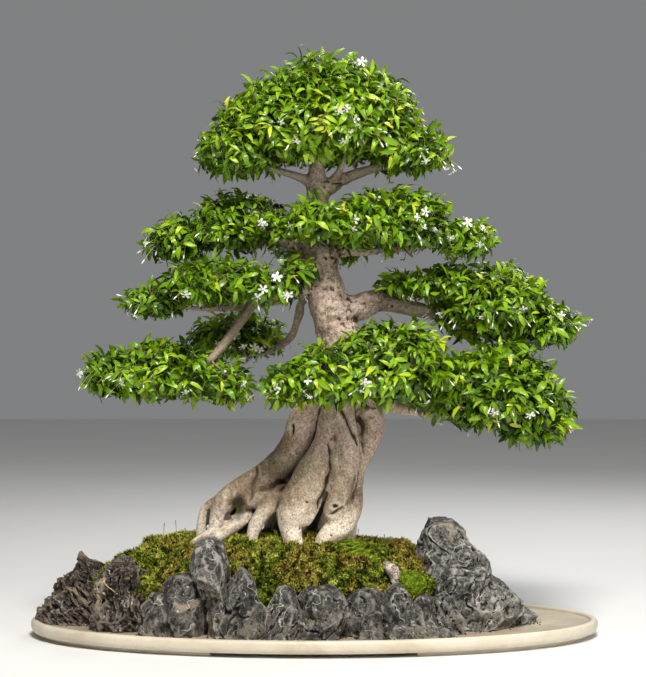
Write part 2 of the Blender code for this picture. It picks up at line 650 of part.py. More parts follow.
def tube(name, points, resolution, extra, group):
    """A limb: a poly curve with a radius at each point, turned into a closed mesh."""
    curve = bpy.data.curves.new(name, "CURVE")
    curve.dimensions = "3D"
    curve.bevel_depth = 1.0
    curve.bevel_resolution = resolution
    curve.use_fill_caps = True
    spline = curve.splines.new("POLY")
    spline.points.add(len(points) - 1)
    for target, (x, y, z, radius) in zip(spline.points, points):
        target.co = (x, y, z, 1.0)
        target.radius = radius + extra
    limb = bpy.data.objects.new(name, curve)
    group.objects.link(limb)
    graph = bpy.context.evaluated_depsgraph_get()
    graph.update()
    mesh = bpy.data.meshes.new_from_object(limb.evaluated_get(graph))
    result = object_from_mesh(name + "_mesh", mesh, group)
    result.matrix_world = limb.matrix_world
    bpy.data.objects.remove(limb, do_unlink=True)
    bpy.data.curves.remove(curve)
    shape = bmesh.new()
    shape.from_mesh(mesh)
    bmesh.ops.remove_doubles(shape, verts=shape.verts, dist=0.00001)
    bmesh.ops.recalc_face_normals(shape, faces=shape.faces)
    shape.to_mesh(mesh)
    shape.free()
    return result


def make_wood(extra, group):
    """Trunk, roots and branches, fused. A positive extra makes a thicker copy to cut with."""
    limbs = [tube("trunk", TRUNK, 3, extra, group), tube("flare", ROOT_FLARE, 2, extra, group)]
    for name, points in ROOTS.items():
        thick = max(point[3] for point in points) > THICK_LIMB
        limbs.append(tube("root_" + name, points, 2 if thick else 1, extra, group))
    for name, points in BRANCHES.items():
        thick = max(point[3] for point in points) > THICK_LIMB
        limbs.append(tube("branch_" + name, points, 2 if thick else 1, extra, group))
    return join_pieces(limbs)


def core_size(lobe):
    """A lobe's half sizes drawn in to its core: length, depth, height and depth below."""
    length, depth, up, down = lobe[3:]
    return (
        max(length - CORE_INSET, length * CORE_SHARE_ACROSS),
        max(depth - CORE_INSET, depth * CORE_SHARE_ACROSS),
        max(up - CORE_INSET, up * CORE_SHARE_UP), down * CORE_SHARE_UP)


def lobe_share(point, lobe, margin=0.0):
    """How far out a point is in a lobe's core, where 1 is on its surface."""
    length, depth, up, down = core_size(lobe)
    offset = point - Vector(lobe[:3])
    height = (up if offset.z > 0 else down) + margin
    return math.sqrt(
        (offset.x / (length + margin)) ** 2 + (offset.y / (depth + margin)) ** 2
        + (offset.z / height) ** 2)


def pad_share(point, pad, margin=0.0):
    """The same for a whole pad: the least of its lobes' shares."""
    return min(lobe_share(point, lobe, margin) for lobe in PADS[pad])


def make_core(pad, group):
    """The dense heart of a pad: fused flattened lobes with a jagged surface."""
    draw = random.Random("core " + pad)
    main_lobe = 2 if len(PADS[pad]) > 1 else 1
    pieces = []
    for number, lobe in enumerate(PADS[pad]):
        length, depth, up, down = core_size(lobe)
        shape = bmesh.new()
        bmesh.ops.create_icosphere(shape, subdivisions=1 if number else main_lobe, radius=1.0)
        for vertex in shape.verts:
            rough = draw.uniform(*CORE_ROUGHNESS)
            height = up if vertex.co.z > 0 else down
            vertex.co = Vector(lobe[:3]) + rough * Vector((
                vertex.co.x * length, vertex.co.y * depth, vertex.co.z * height))
        bmesh.ops.triangulate(shape, faces=shape.faces)
        pieces.append(object_from_bmesh("lobe", shape, group))
    return join_pieces(pieces) if len(pieces) > 1 else pieces[0]


def closed_shape(points, triangles, place, group):
    """A closed body from points in a local frame."""
    shape = bmesh.new()
    corners = [shape.verts.new(place @ point) for point in points]
    for triangle in triangles:
        shape.faces.new([corners[i] for i in triangle])
    return object_from_bmesh("blade", shape, group)


def shoot_shape(scale):
    """A leafy shoot as one arched blade, keeled under its rib.

    It has two pairs of leaves and an end leaf, cut to the rib, and a root that comes to a point.
    """
    reach = LEAF_LENGTH * scale

    def rib(along, side, drop=0.0):
        return Vector((along, side, -SHOOT_ARCH * along * abs(along) - drop))

    points = [rib(-SHOOT_SINK, 0.0)]
    for number in (1, 2, 3):
        along = SHOOT_STEP * scale * number
        points += [rib(along, RIB_HALF), rib(along, -RIB_HALF), rib(along, 0.0, KEEL_DEPTH)]
    triangles = [(0, 2, 1), (0, 1, 3), (0, 3, 2)]
    for k in (0, 1):
        left, right, keel = 3 * k + 1, 3 * k + 2, 3 * k + 3
        triangles += [(left, right, right + 3), (left, right + 3, left + 3)]
        base = points[keel].x
        for low, side in ((left, 1), (right, -1)):
            bulge = len(points)
            tip = bulge + 1
            bulge_at = rib(base + reach * LEAF_BULGE[0], side * reach * LEAF_BULGE[1])
            tip_at = rib(base + reach * LEAF_TIP[0], side * reach * LEAF_TIP[1])
            points.append(bulge_at + Vector((0.0, 0.0, LEAF_LIFT)))
            points.append(tip_at - Vector((0.0, 0.0, LEAF_DROOP)))
            triangles += [
                (low, low + 3, bulge), (bulge, low + 3, tip), (keel, bulge, low),
                (keel, keel + 3, bulge), (keel + 3, tip, bulge), (keel + 3, low + 3, tip)]
    left, right, keel = 7, 8, 9
    first, tip, last = len(points), len(points) + 1, len(points) + 2
    middle = points[keel].x + reach * 0.42
    points += [
        rib(middle, LEAF_WIDTH * 0.5 * scale), rib(points[keel].x + reach, 0.0),
        rib(middle, -LEAF_WIDTH * 0.5 * scale)]
    triangles += [
        (left, right, tip), (left, tip, first), (right, last, tip),
        (keel, first, left), (keel, tip, first), (keel, last, tip), (keel, right, last)]
    return points, triangles


def bloom_shape():
    """A flower with five petals on a stalk that tapers back to a point at its root."""
    points = [Vector((0.0, 0.0, 0.0016)), Vector((0.0, 0.0, -PEDICEL_LENGTH))]
    for i in range(10):
        angle = math.tau * i / 10
        out = BLOOM_RADIUS if i % 2 == 0 else BLOOM_THROAT
        points.append(Vector((out * math.cos(angle), out * math.sin(angle), 0.0)))
    triangles = []
    for i in range(10):
        triangles.append((0, 2 + i, 2 + (i + 1) % 10))
    for i in range(0, 10, 2):
        tip, after, before = 2 + i, 2 + i + 1, 2 + (i + 9) % 10
        triangles += [(tip, before, after), (before, 1, after)]
    return points, triangles


def frame_at(position, forward, normal):
    """The matrix that puts local X along forward and local Z near the normal."""
    x_axis = forward.normalized()
    y_axis = normal.cross(x_axis).normalized()
    z_axis = x_axis.cross(y_axis)
    turn = Matrix((x_axis, y_axis, z_axis)).transposed().to_4x4()
    return Matrix.Translation(position) @ turn


def random_surface_point(core, draw):
    """A random place on a core's faces, even by area, and the face's normal."""
    faces = core.data.polygons
    face = draw.choices(faces, [face.area for face in faces])[0]
    corners = [core.data.vertices[i].co for i in face.vertices[:3]]
    first, second = sorted((draw.random(), draw.random()))
    point = corners[0] * first + corners[1] * (second - first) + corners[2] * (1.0 - second)
    return point, face.normal.copy()


def spaced_place(pad, core, taken, steepest, draw):
    """The roomiest of some random places on a core: the point, its normal and the way outwards."""
    places = []
    while len(places) < PLACES_TRIED:
        point, normal = random_surface_point(core, draw)
        if steepest[0] < normal.z < steepest[1]:
            places.append((point, normal))
    point, normal = max(
        places, key=lambda item: min([(item[0] - other).length for other in taken] or [0.0]))
    lobe = min(PADS[pad], key=lambda item: lobe_share(point, item))
    outward = Vector((point.x - lobe[0], point.y - lobe[1], 0.0)).normalized()
    return point, (normal + outward * OUTWARD_LEAN).normalized(), outward


def surface_tree(item):
    """A search tree of an object's faces."""
    return BVHTree.FromPolygons(
        [vertex.co for vertex in item.data.vertices],
        [tuple(face.vertices) for face in item.data.polygons])


def is_clear(blade, pad, neighbours, done):
    """Whether a blade crosses none of its pad's others, and keeps out of the other pads."""
    points = [vertex.co for vertex in blade.data.vertices]
    if any(abs(point.x) > TRAY_HALF_LENGTH or abs(point.y) > TRAY_HALF_WIDTH for point in points):
        return False
    if max(point.z for point in points) > TREE_TOP:
        return False
    for other in PADS:
        if other != pad and any(pad_share(point, other, CORE_CLEARANCE) < 1.0 for point in points):
            return False
    for tree in done:
        if any(tree.find_nearest(point, 3 * GAP)[0] is not None for point in points):
            return False
    own = surface_tree(blade)
    return not any(own.overlap(tree) for tree in neighbours + done)


def make_shoot(point, normal, outward, draw, group):
    """One leafy shoot that rises from the pad, leans down its slope and is rolled at random."""
    slope = outward - Vector((0.0, 0.0, SHOOT_FALL))
    slope = (slope - normal * slope.dot(normal)).normalized()
    swing = math.pi if normal.z > TOP_NORMAL else SHOOT_SWING
    turn = Matrix.Rotation(draw.uniform(-swing, swing), 3, normal)
    forward = SHOOT_RISE * normal + turn @ slope
    roll = Matrix.Rotation(draw.uniform(-SHOOT_ROLL, SHOOT_ROLL), 4, "X")
    points, triangles = shoot_shape(draw.uniform(*SHOOT_SCALES))
    return closed_shape(points, triangles, frame_at(point, forward, normal) @ roll, group)


def make_bloom(point, normal, outward, draw, group):
    """One flower on its stalk, hanging out from under the rim."""
    fall = Vector((0.0, 0.0, draw.uniform(*BLOOM_FALLS)))
    way = (outward + BLOOM_RISE * normal + fall).normalized()
    points, triangles = bloom_shape()
    place = frame_at(point + way * (PEDICEL_LENGTH - STALK_SINK), way.orthogonal(), way)
    return closed_shape(points, triangles, place, group)


def grow(pad, core, count, steepest, make, grown, done, draw, group):
    """Add that many shoots or blooms to a pad, each clear of those that stand already."""
    goal = len(grown) + count
    neighbours = [surface_tree(item) for item in grown]
    taken = []
    for _ in range(count * TRIES_EACH):
        if len(grown) == goal:
            return
        point, normal, outward = spaced_place(pad, core, taken, steepest, draw)
        item = make(point, normal, outward, draw, group)
        if is_clear(item, pad, neighbours, done):
            grown.append(item)
            neighbours.append(surface_tree(item))
            taken.append(point)
        else:
            remove_object(item)


def make_pad(pad, done, parts, wood, material):
    """One pad of foliage: core, shoots and blooms fused, with room for the branch."""
    draw = random.Random("pad " + pad)
    shoots, blooms = PAD_COUNTS[pad]
    core = make_core(pad, parts)
    grown = []
    grow(pad, core, blooms, RIM_NORMALS, make_bloom, grown, done, draw, parts)
    grow(pad, core, shoots, SHOOT_NORMALS, make_shoot, grown, done, draw, parts)
    item = join_pieces([core] + grown)
    cut(item, wood)
    keep_largest(item)
    done.append(surface_tree(item))
    return finish(item, "foliage_" + pad, material)


def keep_in_well(x, y, z):
    """Draw a low point in, so that a rock's foot stays inside the tray's well."""
    half_length = TRAY_HALF_LENGTH - LIP_WIDTH - WELL_MARGIN
    half_width = TRAY_HALF_WIDTH - LIP_WIDTH - WELL_MARGIN
    share = math.hypot(x / half_length, y / half_width)
    if z < TRAY_TOP + ROCK_STEP_UNEVEN and share > 1.0:
        return x / share, y / share
    return x, y


def make_rock(name, front, back, levels, group):
    """A craggy rock: an uneven outline at each level, lofted and closed."""
    draw = random.Random("rock " + name)
    base_width = max(right - left for _, left, right in levels)
    shape = bmesh.new()
    rings = []
    for number, (z, left, right) in enumerate(levels):
        rise = number / (len(levels) - 1)
        share = (right - left) / base_width
        depth_share = ROCK_LEAST_DEPTH + (1.0 - ROCK_LEAST_DEPTH) * share
        half_depth = (back - front) / 2 * depth_share
        middle_y = (front + back) / 2 + (back - front) * ROCK_LEAN_BACK * rise
        middle_x = (left + right) / 2
        ring = []
        for i in range(ROCK_SIDES):
            twist = draw.uniform(-ROCK_TWIST, ROCK_TWIST)
            angle = math.tau * (i + twist) / ROCK_SIDES + ROCK_START
            rough = draw.uniform(*(ROCK_ROUGHNESS if number else ROCK_FOOT_ROUGHNESS))
            x = middle_x + (right - left) / 2 * rough * math.cos(angle) * ROCK_WIDEN
            y = middle_y + half_depth * rough * math.sin(angle)
            x = min(max(x, left), right)
            height = max(z, WELL_FLOOR + GAP)
            if number:
                height += draw.uniform(-ROCK_STEP_UNEVEN, ROCK_STEP_UNEVEN)
            x, y = keep_in_well(x, y, height)
            ring.append(shape.verts.new((x, y, height)))
        rings.append(ring)
    for below, above in zip(rings, rings[1:]):
        for i in range(ROCK_SIDES):
            after = (i + 1) % ROCK_SIDES
            shape.faces.new((below[i], below[after], above[after], above[i]))
    shape.faces.new(list(reversed(rings[0])))
    crest = sum((vertex.co for vertex in rings[-1]), Vector()) / ROCK_SIDES
    peak = shape.verts.new(crest + Vector((0.0, 0.0, ROCK_PEAK)))
    for i in range(ROCK_SIDES):
        shape.faces.new((rings[-1][i], rings[-1][(i + 1) % ROCK_SIDES], peak))
    bmesh.ops.triangulate(shape, faces=shape.faces)
    return object_from_bmesh("rock_" + name, shape, group)


def back_rock_levels(draw):
    """Levels of a rock of the back half, about its own middle."""
    height = draw.uniform(*BACK_ROCK_HEIGHTS)
    lean = draw.uniform(-BACK_ROCK_LEAN, BACK_ROCK_LEAN)
    levels = []
    for share, width in BACK_ROCK_STEPS:
        middle = lean * share
        half = BACK_ROCK_HALF_LENGTH * width * draw.uniform(*BACK_ROCK_WIDTHS)
        levels.append((WELL_FLOOR + (height - WELL_FLOOR) * share, middle - half, middle + half))
    return levels


def make_back_rock(number, degrees, group):
    """A rock of the back half, turned to follow the ring."""
    angle = math.radians(degrees)
    draw = random.Random("back rock %d" % number)
    rock = make_rock(
        "back_%d" % number, -BACK_ROCK_HALF_DEPTH, BACK_ROCK_HALF_DEPTH,
        back_rock_levels(draw), group)
    x = BACK_RING_CENTRE_X + BACK_RING_HALF_LENGTH * math.cos(angle)
    y = BACK_RING_HALF_WIDTH * math.sin(angle)
    along = math.atan2(
        BACK_RING_HALF_WIDTH * math.cos(angle), -BACK_RING_HALF_LENGTH * math.sin(angle))
    turn = Matrix.Translation((x, y, 0.0)) @ Matrix.Rotation(along, 4, "Z")
    rock.data.transform(turn)
    for vertex in rock.data.vertices:
        vertex.co.x, vertex.co.y = keep_in_well(*vertex.co)
    return rock


def boxes_meet(first, second):
    """Whether two objects' boxes meet."""
    for axis in range(3):
        one = [vertex.co[axis] for vertex in first.data.vertices]
        two = [vertex.co[axis] for vertex in second.data.vertices]
        if min(one) > max(two) or min(two) > max(one):
            return False
    return True


def make_rocks(thick_soil, parts, cutters, material):
    """All the rocks. Each gives way to the soil and to the ones that were set before it."""
    rocks = []
    for name, (front, back, levels) in FRONT_ROCKS.items():
        rocks.append(make_rock(name, front, back, levels, parts))
    for number, degrees in enumerate(BACK_ROCK_ANGLES):
        rocks.append(make_back_rock(number + 1, degrees, parts))
    grown = []
    for rock in rocks:
        for earlier in grown:
            if boxes_meet(rock, earlier):
                cut(rock, earlier)
        grown.append(grown_copy(rock, GAP, cutters))
        cut(rock, thick_soil)
        keep_largest(rock)
        finish(rock, rock.name, material)


def make_pale_stone(thick_soil, material, parts):
    """The small pale stone that lies on the moss at the right."""
    front, back, levels = PALE_STONE
    stone = make_rock("pale", front, back, levels, parts)
    cut(stone, thick_soil)
    keep_largest(stone)
    return finish(stone, "stone_pale", material)


def main():
    """Build every piece."""
    clear_scene()
    parts = make_collection("water_jasmine_bonsai")
    cutters = make_collection("cutters")
    leaf = make_material("leaf", LEAF_GREEN, 0.45)
    bark = make_material("bark", BARK_GREY, 0.8)
    marble = make_material("marble", MARBLE_CREAM, 0.35)
    moss = make_material("moss", MOSS_OLIVE, 0.95)
    rock = make_material("rock", ROCK_GREY, 0.7)
    pale = make_material("pale_stone", STONE_PALE, 0.8)

    make_tray(parts, cutters, marble)
    wood = make_wood(0.0, parts)
    keep_largest(wood)
    finish(wood, "tree_wood", bark, 50)
    thick_wood = make_wood(GAP, cutters)
    soil = make_mound(parts)
    thick_soil = grown_copy(soil, GAP, cutters)
    make_rocks(thick_soil, parts, cutters, rock)
    make_pale_stone(thick_soil, pale, parts)
    cut(soil, thick_wood)
    keep_largest(soil)
    finish(soil, "soil_mound", moss)
    done = []
    for pad in PADS:
        make_pad(pad, done, parts, thick_wood, leaf)
    for item in list(cutters.objects):
        remove_object(item)


main()
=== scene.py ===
"""Looks of the water jasmine bonsai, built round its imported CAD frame.

Metres, +Z up, in the frame of the CAD model. Each foliage pad, the wood, each rock, the mossy
soil and the tray get a finer piece that keeps the form of the CAD node that it stands for.
"""

import math

import bmesh
import bpy
import numpy as np
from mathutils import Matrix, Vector
from mathutils.bvhtree import BVHTree


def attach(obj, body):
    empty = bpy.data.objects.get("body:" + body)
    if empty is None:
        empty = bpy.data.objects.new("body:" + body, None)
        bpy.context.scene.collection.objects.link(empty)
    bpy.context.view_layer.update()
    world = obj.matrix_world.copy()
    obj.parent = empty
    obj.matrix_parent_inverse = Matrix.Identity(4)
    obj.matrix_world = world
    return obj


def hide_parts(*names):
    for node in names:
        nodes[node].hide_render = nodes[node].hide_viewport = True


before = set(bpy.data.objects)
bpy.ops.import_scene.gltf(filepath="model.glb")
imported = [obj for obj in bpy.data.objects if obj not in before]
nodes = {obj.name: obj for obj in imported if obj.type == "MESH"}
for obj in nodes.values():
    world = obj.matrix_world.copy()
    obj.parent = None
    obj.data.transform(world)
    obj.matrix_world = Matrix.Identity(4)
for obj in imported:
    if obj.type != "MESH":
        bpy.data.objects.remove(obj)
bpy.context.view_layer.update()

# Camera, as the photograph was taken: level, and in front of the tree
CAMERA_PLACE = (0.0136, -3.0, 0.4726)
LENS = 99.7
SENSOR = 36.0

# Tray
TRAY_HALF_LENGTH = 0.452
TRAY_HALF_WIDTH = 0.243
TRAY_TOP = 0.027
WELL_FLOOR = 0.022
FOOT_HEIGHT = 0.006
FOOT_GAP_HALF_LENGTH = 0.15
TRAY_STEPS = 216

# Wood: each limb is a list of (x, y, z, radius), from its root outwards, as in the CAD source
TRUNK = (
    (0.049, 0.004, 0.372, 0.033), (0.047, 0.000, 0.410, 0.034), (0.042, 0.000, 0.450, 0.034),
    (0.034, 0.000, 0.490, 0.034), (0.023, 0.000, 0.528, 0.034), (0.015, 0.000, 0.566, 0.031),
    (0.007, 0.000, 0.606, 0.027), (0.002, 0.000, 0.654, 0.021), (0.004, 0.000, 0.702, 0.018),
    (0.004, 0.000, 0.750, 0.012), (0.006, 0.000, 0.809, 0.006),
)
ROOTS = {
    "flare": (
        (0.045, 0.006, 0.392, 0.034), (0.033, 0.008, 0.334, 0.034), (0.017, 0.010, 0.286, 0.034),
        (-0.004, 0.012, 0.237, 0.034), (-0.023, 0.014, 0.194, 0.034), (-0.039, 0.014, 0.141, 0.034),
    ),
    "column": (
        (0.036, -0.020, 0.392, 0.022), (0.036, -0.026, 0.350, 0.022), (0.033, -0.028, 0.312, 0.019),
    ),
    "far_left": (
        (0.030, -0.004, 0.419, 0.020), (0.006, -0.006, 0.382, 0.024), (-0.014, -0.004, 0.346, 0.026),
        (-0.028, -0.004, 0.310, 0.026), (-0.049, -0.008, 0.279, 0.024), (-0.084, -0.012, 0.254, 0.020),
        (-0.116, -0.018, 0.235, 0.019), (-0.138, -0.022, 0.216, 0.018), (-0.150, -0.026, 0.196, 0.016),
        (-0.156, -0.030, 0.172, 0.013), (-0.160, -0.034, 0.130, 0.010),
    ),
    "left": (
        (-0.042, -0.006, 0.282, 0.020), (-0.068, -0.014, 0.254, 0.019), (-0.086, -0.022, 0.232, 0.018),
        (-0.100, -0.026, 0.217, 0.016), (-0.110, -0.028, 0.200, 0.013),
    ),
    "left_toes": (
        (-0.050, -0.030, 0.230, 0.015), (-0.068, -0.036, 0.224, 0.0155), (-0.084, -0.038, 0.219, 0.0145),
        (-0.097, -0.038, 0.214, 0.012),
    ),
    "third_toe": (
        (-0.102, -0.028, 0.197, 0.009), (-0.112, -0.038, 0.186, 0.011), (-0.137, -0.046, 0.170, 0.0108),
        (-0.157, -0.052, 0.153, 0.009), (-0.170, -0.056, 0.130, 0.007),
    ),
    "outer_toe": (
        (-0.147, -0.014, 0.215, 0.011), (-0.166, -0.016, 0.208, 0.0105), (-0.176, -0.018, 0.193, 0.0098),
        (-0.180, -0.020, 0.171, 0.0092), (-0.182, -0.022, 0.130, 0.007),
    ),
    "middle_toe": (
        (-0.108, -0.030, 0.196, 0.008), (-0.137, -0.036, 0.181, 0.0075), (-0.165, -0.042, 0.166, 0.0068),
        (-0.192, -0.042, 0.150, 0.0055), (-0.212, -0.040, 0.128, 0.004),
    ),
    "inner_toe": (
        (-0.052, -0.040, 0.222, 0.011), (-0.074, -0.048, 0.205, 0.0125), (-0.088, -0.052, 0.186, 0.0125),
        (-0.098, -0.056, 0.163, 0.0115), (-0.103, -0.058, 0.126, 0.009),
    ),
    "front": (
        (0.033, -0.012, 0.387, 0.016), (0.024, -0.024, 0.351, 0.015), (0.016, -0.032, 0.315, 0.017),
        (0.004, -0.036, 0.284, 0.021), (-0.012, -0.042, 0.249, 0.027), (-0.024, -0.046, 0.221, 0.029),
        (-0.034, -0.050, 0.198, 0.026), (-0.038, -0.052, 0.178, 0.020), (-0.033, -0.056, 0.155, 0.0165),
        (-0.027, -0.060, 0.122, 0.013),
    ),
    "front_ridge": (
        (0.026, -0.026, 0.388, 0.012), (0.023, -0.036, 0.344, 0.010), (0.024, -0.043, 0.304, 0.0085),
        (0.0235, -0.047, 0.268, 0.0075), (0.018, -0.050, 0.238, 0.006),
    ),
    "knot": (
        (0.041, -0.014, 0.399, 0.018), (0.045, -0.026, 0.359, 0.019), (0.048, -0.032, 0.320, 0.021),
        (0.049, -0.034, 0.280, 0.0235), (0.043, -0.036, 0.243, 0.0245), (0.037, -0.038, 0.215, 0.022),
        (0.032, -0.038, 0.201, 0.017),
    ),
    "right_front": (
        (0.062, -0.004, 0.331, 0.012), (0.064, -0.012, 0.266, 0.016), (0.062, -0.016, 0.236, 0.017),
        (0.060, -0.022, 0.211, 0.019), (0.052, -0.028, 0.189, 0.0205), (0.036, -0.034, 0.170, 0.0195),
        (0.019, -0.040, 0.154, 0.0165), (0.006, -0.046, 0.126, 0.012),
    ),
    "right": (
        (0.052, 0.008, 0.415, 0.020), (0.080, 0.008, 0.369, 0.022), (0.092, 0.008, 0.334, 0.022),
        (0.080, 0.006, 0.297, 0.020), (0.064, 0.002, 0.265, 0.017), (0.061, 0.000, 0.230, 0.016),
        (0.057, 0.000, 0.190, 0.014), (0.050, 0.000, 0.128, 0.012),
    ),
    "front_seam": (
        (0.020, -0.030, 0.310, 0.008), (0.011, -0.040, 0.272, 0.013), (0.004, -0.044, 0.240, 0.016),
        (-0.005, -0.046, 0.212, 0.015), (-0.016, -0.050, 0.188, 0.011),
    ),
    "cavity_wall": (
        (-0.110, 0.000, 0.226, 0.014), (-0.119, 0.000, 0.203, 0.016), (-0.128, 0.000, 0.180, 0.015),
        (-0.134, 0.000, 0.145, 0.012),
    ),
    "left_back": (
        (-0.046, 0.008, 0.240, 0.024), (-0.078, 0.008, 0.214, 0.024), (-0.104, 0.005, 0.194, 0.022),
        (-0.130, 0.002, 0.170, 0.020), (-0.146, 0.000, 0.130, 0.014),
    ),
    "back_left": (
        (0.038, 0.022, 0.398, 0.022), (0.018, 0.034, 0.341, 0.022), (-0.008, 0.046, 0.283, 0.019),
        (-0.040, 0.058, 0.226, 0.016), (-0.067, 0.070, 0.175, 0.012), (-0.083, 0.078, 0.118, 0.009),
    ),
    "back_right": (
        (0.060, 0.022, 0.398, 0.020), (0.061, 0.040, 0.332, 0.020), (0.058, 0.052, 0.267, 0.018),
        (0.051, 0.064, 0.209, 0.015), (0.058, 0.074, 0.159, 0.011), (0.068, 0.080, 0.105, 0.008),
    ),
    "back_middle": (
        (0.049, 0.034, 0.373, 0.016), (0.038, 0.056, 0.307, 0.016), (0.025, 0.072, 0.241, 0.014),
        (0.012, 0.088, 0.182, 0.011), (0.005, 0.100, 0.117, 0.008),
    ),
}
BRANCHES = {
    "crown_left": (
        (0.006, 0.000, 0.711, 0.012), (-0.018, 0.000, 0.728, 0.0080), (-0.068, -0.002, 0.744, 0.005),
        (-0.119, -0.004, 0.758, 0.0035), (-0.150, -0.006, 0.768, 0.003),
    ),
    "crown_right": (
        (0.009, 0.000, 0.705, 0.015), (0.031, 0.000, 0.719, 0.012), (0.060, -0.002, 0.733, 0.009),
        (0.101, -0.004, 0.746, 0.007), (0.149, -0.006, 0.759, 0.005), (0.180, -0.006, 0.770, 0.003),
    ),
    "crown_fork": (
        (0.024, -0.004, 0.718, 0.008), (0.040, -0.012, 0.740, 0.006), (0.052, -0.022, 0.768, 0.003),
    ),
    "crown_front": (
        (0.004, 0.000, 0.742, 0.009), (0.012, -0.040, 0.770, 0.006), (0.021, -0.070, 0.785, 0.004),
        (0.027, -0.088, 0.796, 0.003),
    ),
    "crown_back": (
        (0.004, 0.000, 0.750, 0.009), (-0.001, 0.045, 0.782, 0.006), (-0.004, 0.075, 0.806, 0.004),
        (-0.008, 0.090, 0.818, 0.003),
    ),
    "left_upper": (
        (0.005, 0.006, 0.616, 0.013), (-0.039, 0.014, 0.626, 0.010), (-0.085, 0.022, 0.631, 0.007),
        (-0.140, 0.028, 0.635, 0.005), (-0.192, 0.030, 0.635, 0.0035),
    ),
    "left_mid": (
        (0.008, -0.008, 0.566, 0.013), (-0.036, -0.024, 0.540, 0.009), (-0.083, -0.034, 0.529, 0.008),
        (-0.133, -0.042, 0.521, 0.006), (-0.186, -0.046, 0.520, 0.0045), (-0.240, -0.044, 0.525, 0.003),
    ),
    "left_low": (
        (-0.002, -0.012, 0.584, 0.013), (-0.051, -0.044, 0.565, 0.010), (-0.085, -0.060, 0.541, 0.009),
        (-0.115, -0.068, 0.500, 0.008), (-0.147, -0.074, 0.456, 0.007), (-0.184, -0.076, 0.422, 0.0055),
        (-0.241, -0.072, 0.406, 0.004), (-0.304, -0.056, 0.410, 0.003),
    ),
    "back_left": (
        (0.012, 0.016, 0.551, 0.013), (-0.017, 0.038, 0.535, 0.009), (-0.027, 0.056, 0.506, 0.0075),
        (-0.041, 0.076, 0.473, 0.0065), (-0.077, 0.096, 0.450, 0.005), (-0.110, 0.112, 0.446, 0.0035),
        (-0.130, 0.122, 0.446, 0.003),
    ),
    "right_upper": (
        (0.010, 0.000, 0.601, 0.016), (0.049, -0.008, 0.611, 0.009), (0.092, -0.018, 0.612, 0.007),
        (0.139, -0.026, 0.615, 0.006), (0.193, -0.030, 0.620, 0.0045), (0.234, -0.030, 0.624, 0.003),
    ),
    "right_mid": (
        (0.032, 0.000, 0.512, 0.026), (0.072, 0.002, 0.524, 0.020), (0.111, 0.006, 0.528, 0.015),
        (0.150, 0.008, 0.523, 0.013), (0.188, 0.008, 0.514, 0.011), (0.240, 0.008, 0.504, 0.008),
        (0.298, 0.008, 0.499, 0.0055), (0.362, 0.008, 0.496, 0.003),
    ),
    "right_burl": (
        (0.066, -0.002, 0.530, 0.010), (0.086, -0.004, 0.536, 0.013), (0.104, -0.004, 0.538, 0.013),
        (0.122, -0.002, 0.532, 0.009),
    ),
    "right_low": (
        (0.052, -0.004, 0.402, 0.022), (0.095, -0.018, 0.378, 0.014), (0.136, -0.028, 0.362, 0.011),
        (0.192, -0.034, 0.355, 0.009), (0.252, -0.038, 0.353, 0.0065), (0.312, -0.040, 0.350, 0.004),
        (0.350, -0.040, 0.348, 0.003),
    ),
    "front_low": (
        (0.043, -0.008, 0.454, 0.020), (0.047, -0.050, 0.436, 0.012), (0.049, -0.084, 0.414, 0.009),
        (0.049, -0.116, 0.402, 0.0065), (0.046, -0.150, 0.396, 0.004),
    ),
    "front_low_left": (
        (0.049, -0.078, 0.418, 0.007), (0.015, -0.108, 0.402, 0.006), (-0.022, -0.118, 0.396, 0.004),
    ),
    "front_low_right": (
        (0.049, -0.078, 0.418, 0.007), (0.086, -0.108, 0.412, 0.006), (0.136, -0.124, 0.414, 0.004),
    ),
    "back_low": (
        (0.041, 0.008, 0.478, 0.020), (0.051, 0.048, 0.460, 0.012), (0.068, 0.084, 0.437, 0.009),
        (0.085, 0.116, 0.422, 0.006), (0.096, 0.150, 0.415, 0.004),
    ),
    "back_upper": (
        (0.010, 0.004, 0.590, 0.014), (0.012, 0.045, 0.606, 0.009), (0.012, 0.085, 0.616, 0.007),
        (0.010, 0.125, 0.621, 0.005), (0.008, 0.155, 0.624, 0.0035),
    ),
    "trunk_knob": (
        (0.006, -0.004, 0.580, 0.020), (-0.012, -0.006, 0.591, 0.014), (-0.026, -0.006, 0.596, 0.005),
    ),
}

# Scars on the wood, as (x, z, half width, half height, depth), seen from the front
HOLES = (
    (-0.0345, 0.3295, 0.0028, 0.0085, 0.006), (0.0320, 0.2090, 0.0048, 0.0030, 0.009),
    (-0.0920, 0.2640, 0.0030, 0.0075, 0.0016), (0.0270, 0.1630, 0.0030, 0.0022, 0.0016),
    (-0.0110, 0.2170, 0.0032, 0.0026, 0.0012),
)
# The cavity in the left root, as (x, z, half width, half height), painted dark felt: partly moss, partly
# painted shade
CAVITY = (-0.1195, 0.2070, 0.0120, 0.0170)

# Creases in the front of the roots: how dark each line is, as painted shade that also sets how deep it
# is cut, and its points (x, z)
CREASES = (
    (0.90, ((0.0382, 0.3716), (0.0529, 0.3379), (0.0666, 0.3148), (0.0729, 0.2938))),
    (1.00, ((0.0203, 0.3127), (0.0234, 0.2959), (0.0244, 0.2748), (0.0213, 0.2516),
            (0.0150, 0.2306), (0.0076, 0.2138), (0.0065, 0.1969))),
    (0.55, ((-0.0861, 0.2706), (-0.0924, 0.2558), (-0.0977, 0.2411), (-0.1008, 0.2285),
            (-0.1029, 0.2095))),
    (0.35, ((-0.0966, 0.2306), (-0.0776, 0.2359), (-0.0566, 0.2411))),
    (0.75, ((0.0118, 0.1969), (0.0277, 0.1979), (0.0423, 0.2033), (0.0550, 0.2138))),
    (0.40, ((0.0423, 0.2033), (0.0550, 0.2138), (0.0613, 0.2306), (0.0655, 0.2495),
            (0.0672, 0.2664))),
)
CREASE_DEPTH = 0.0026
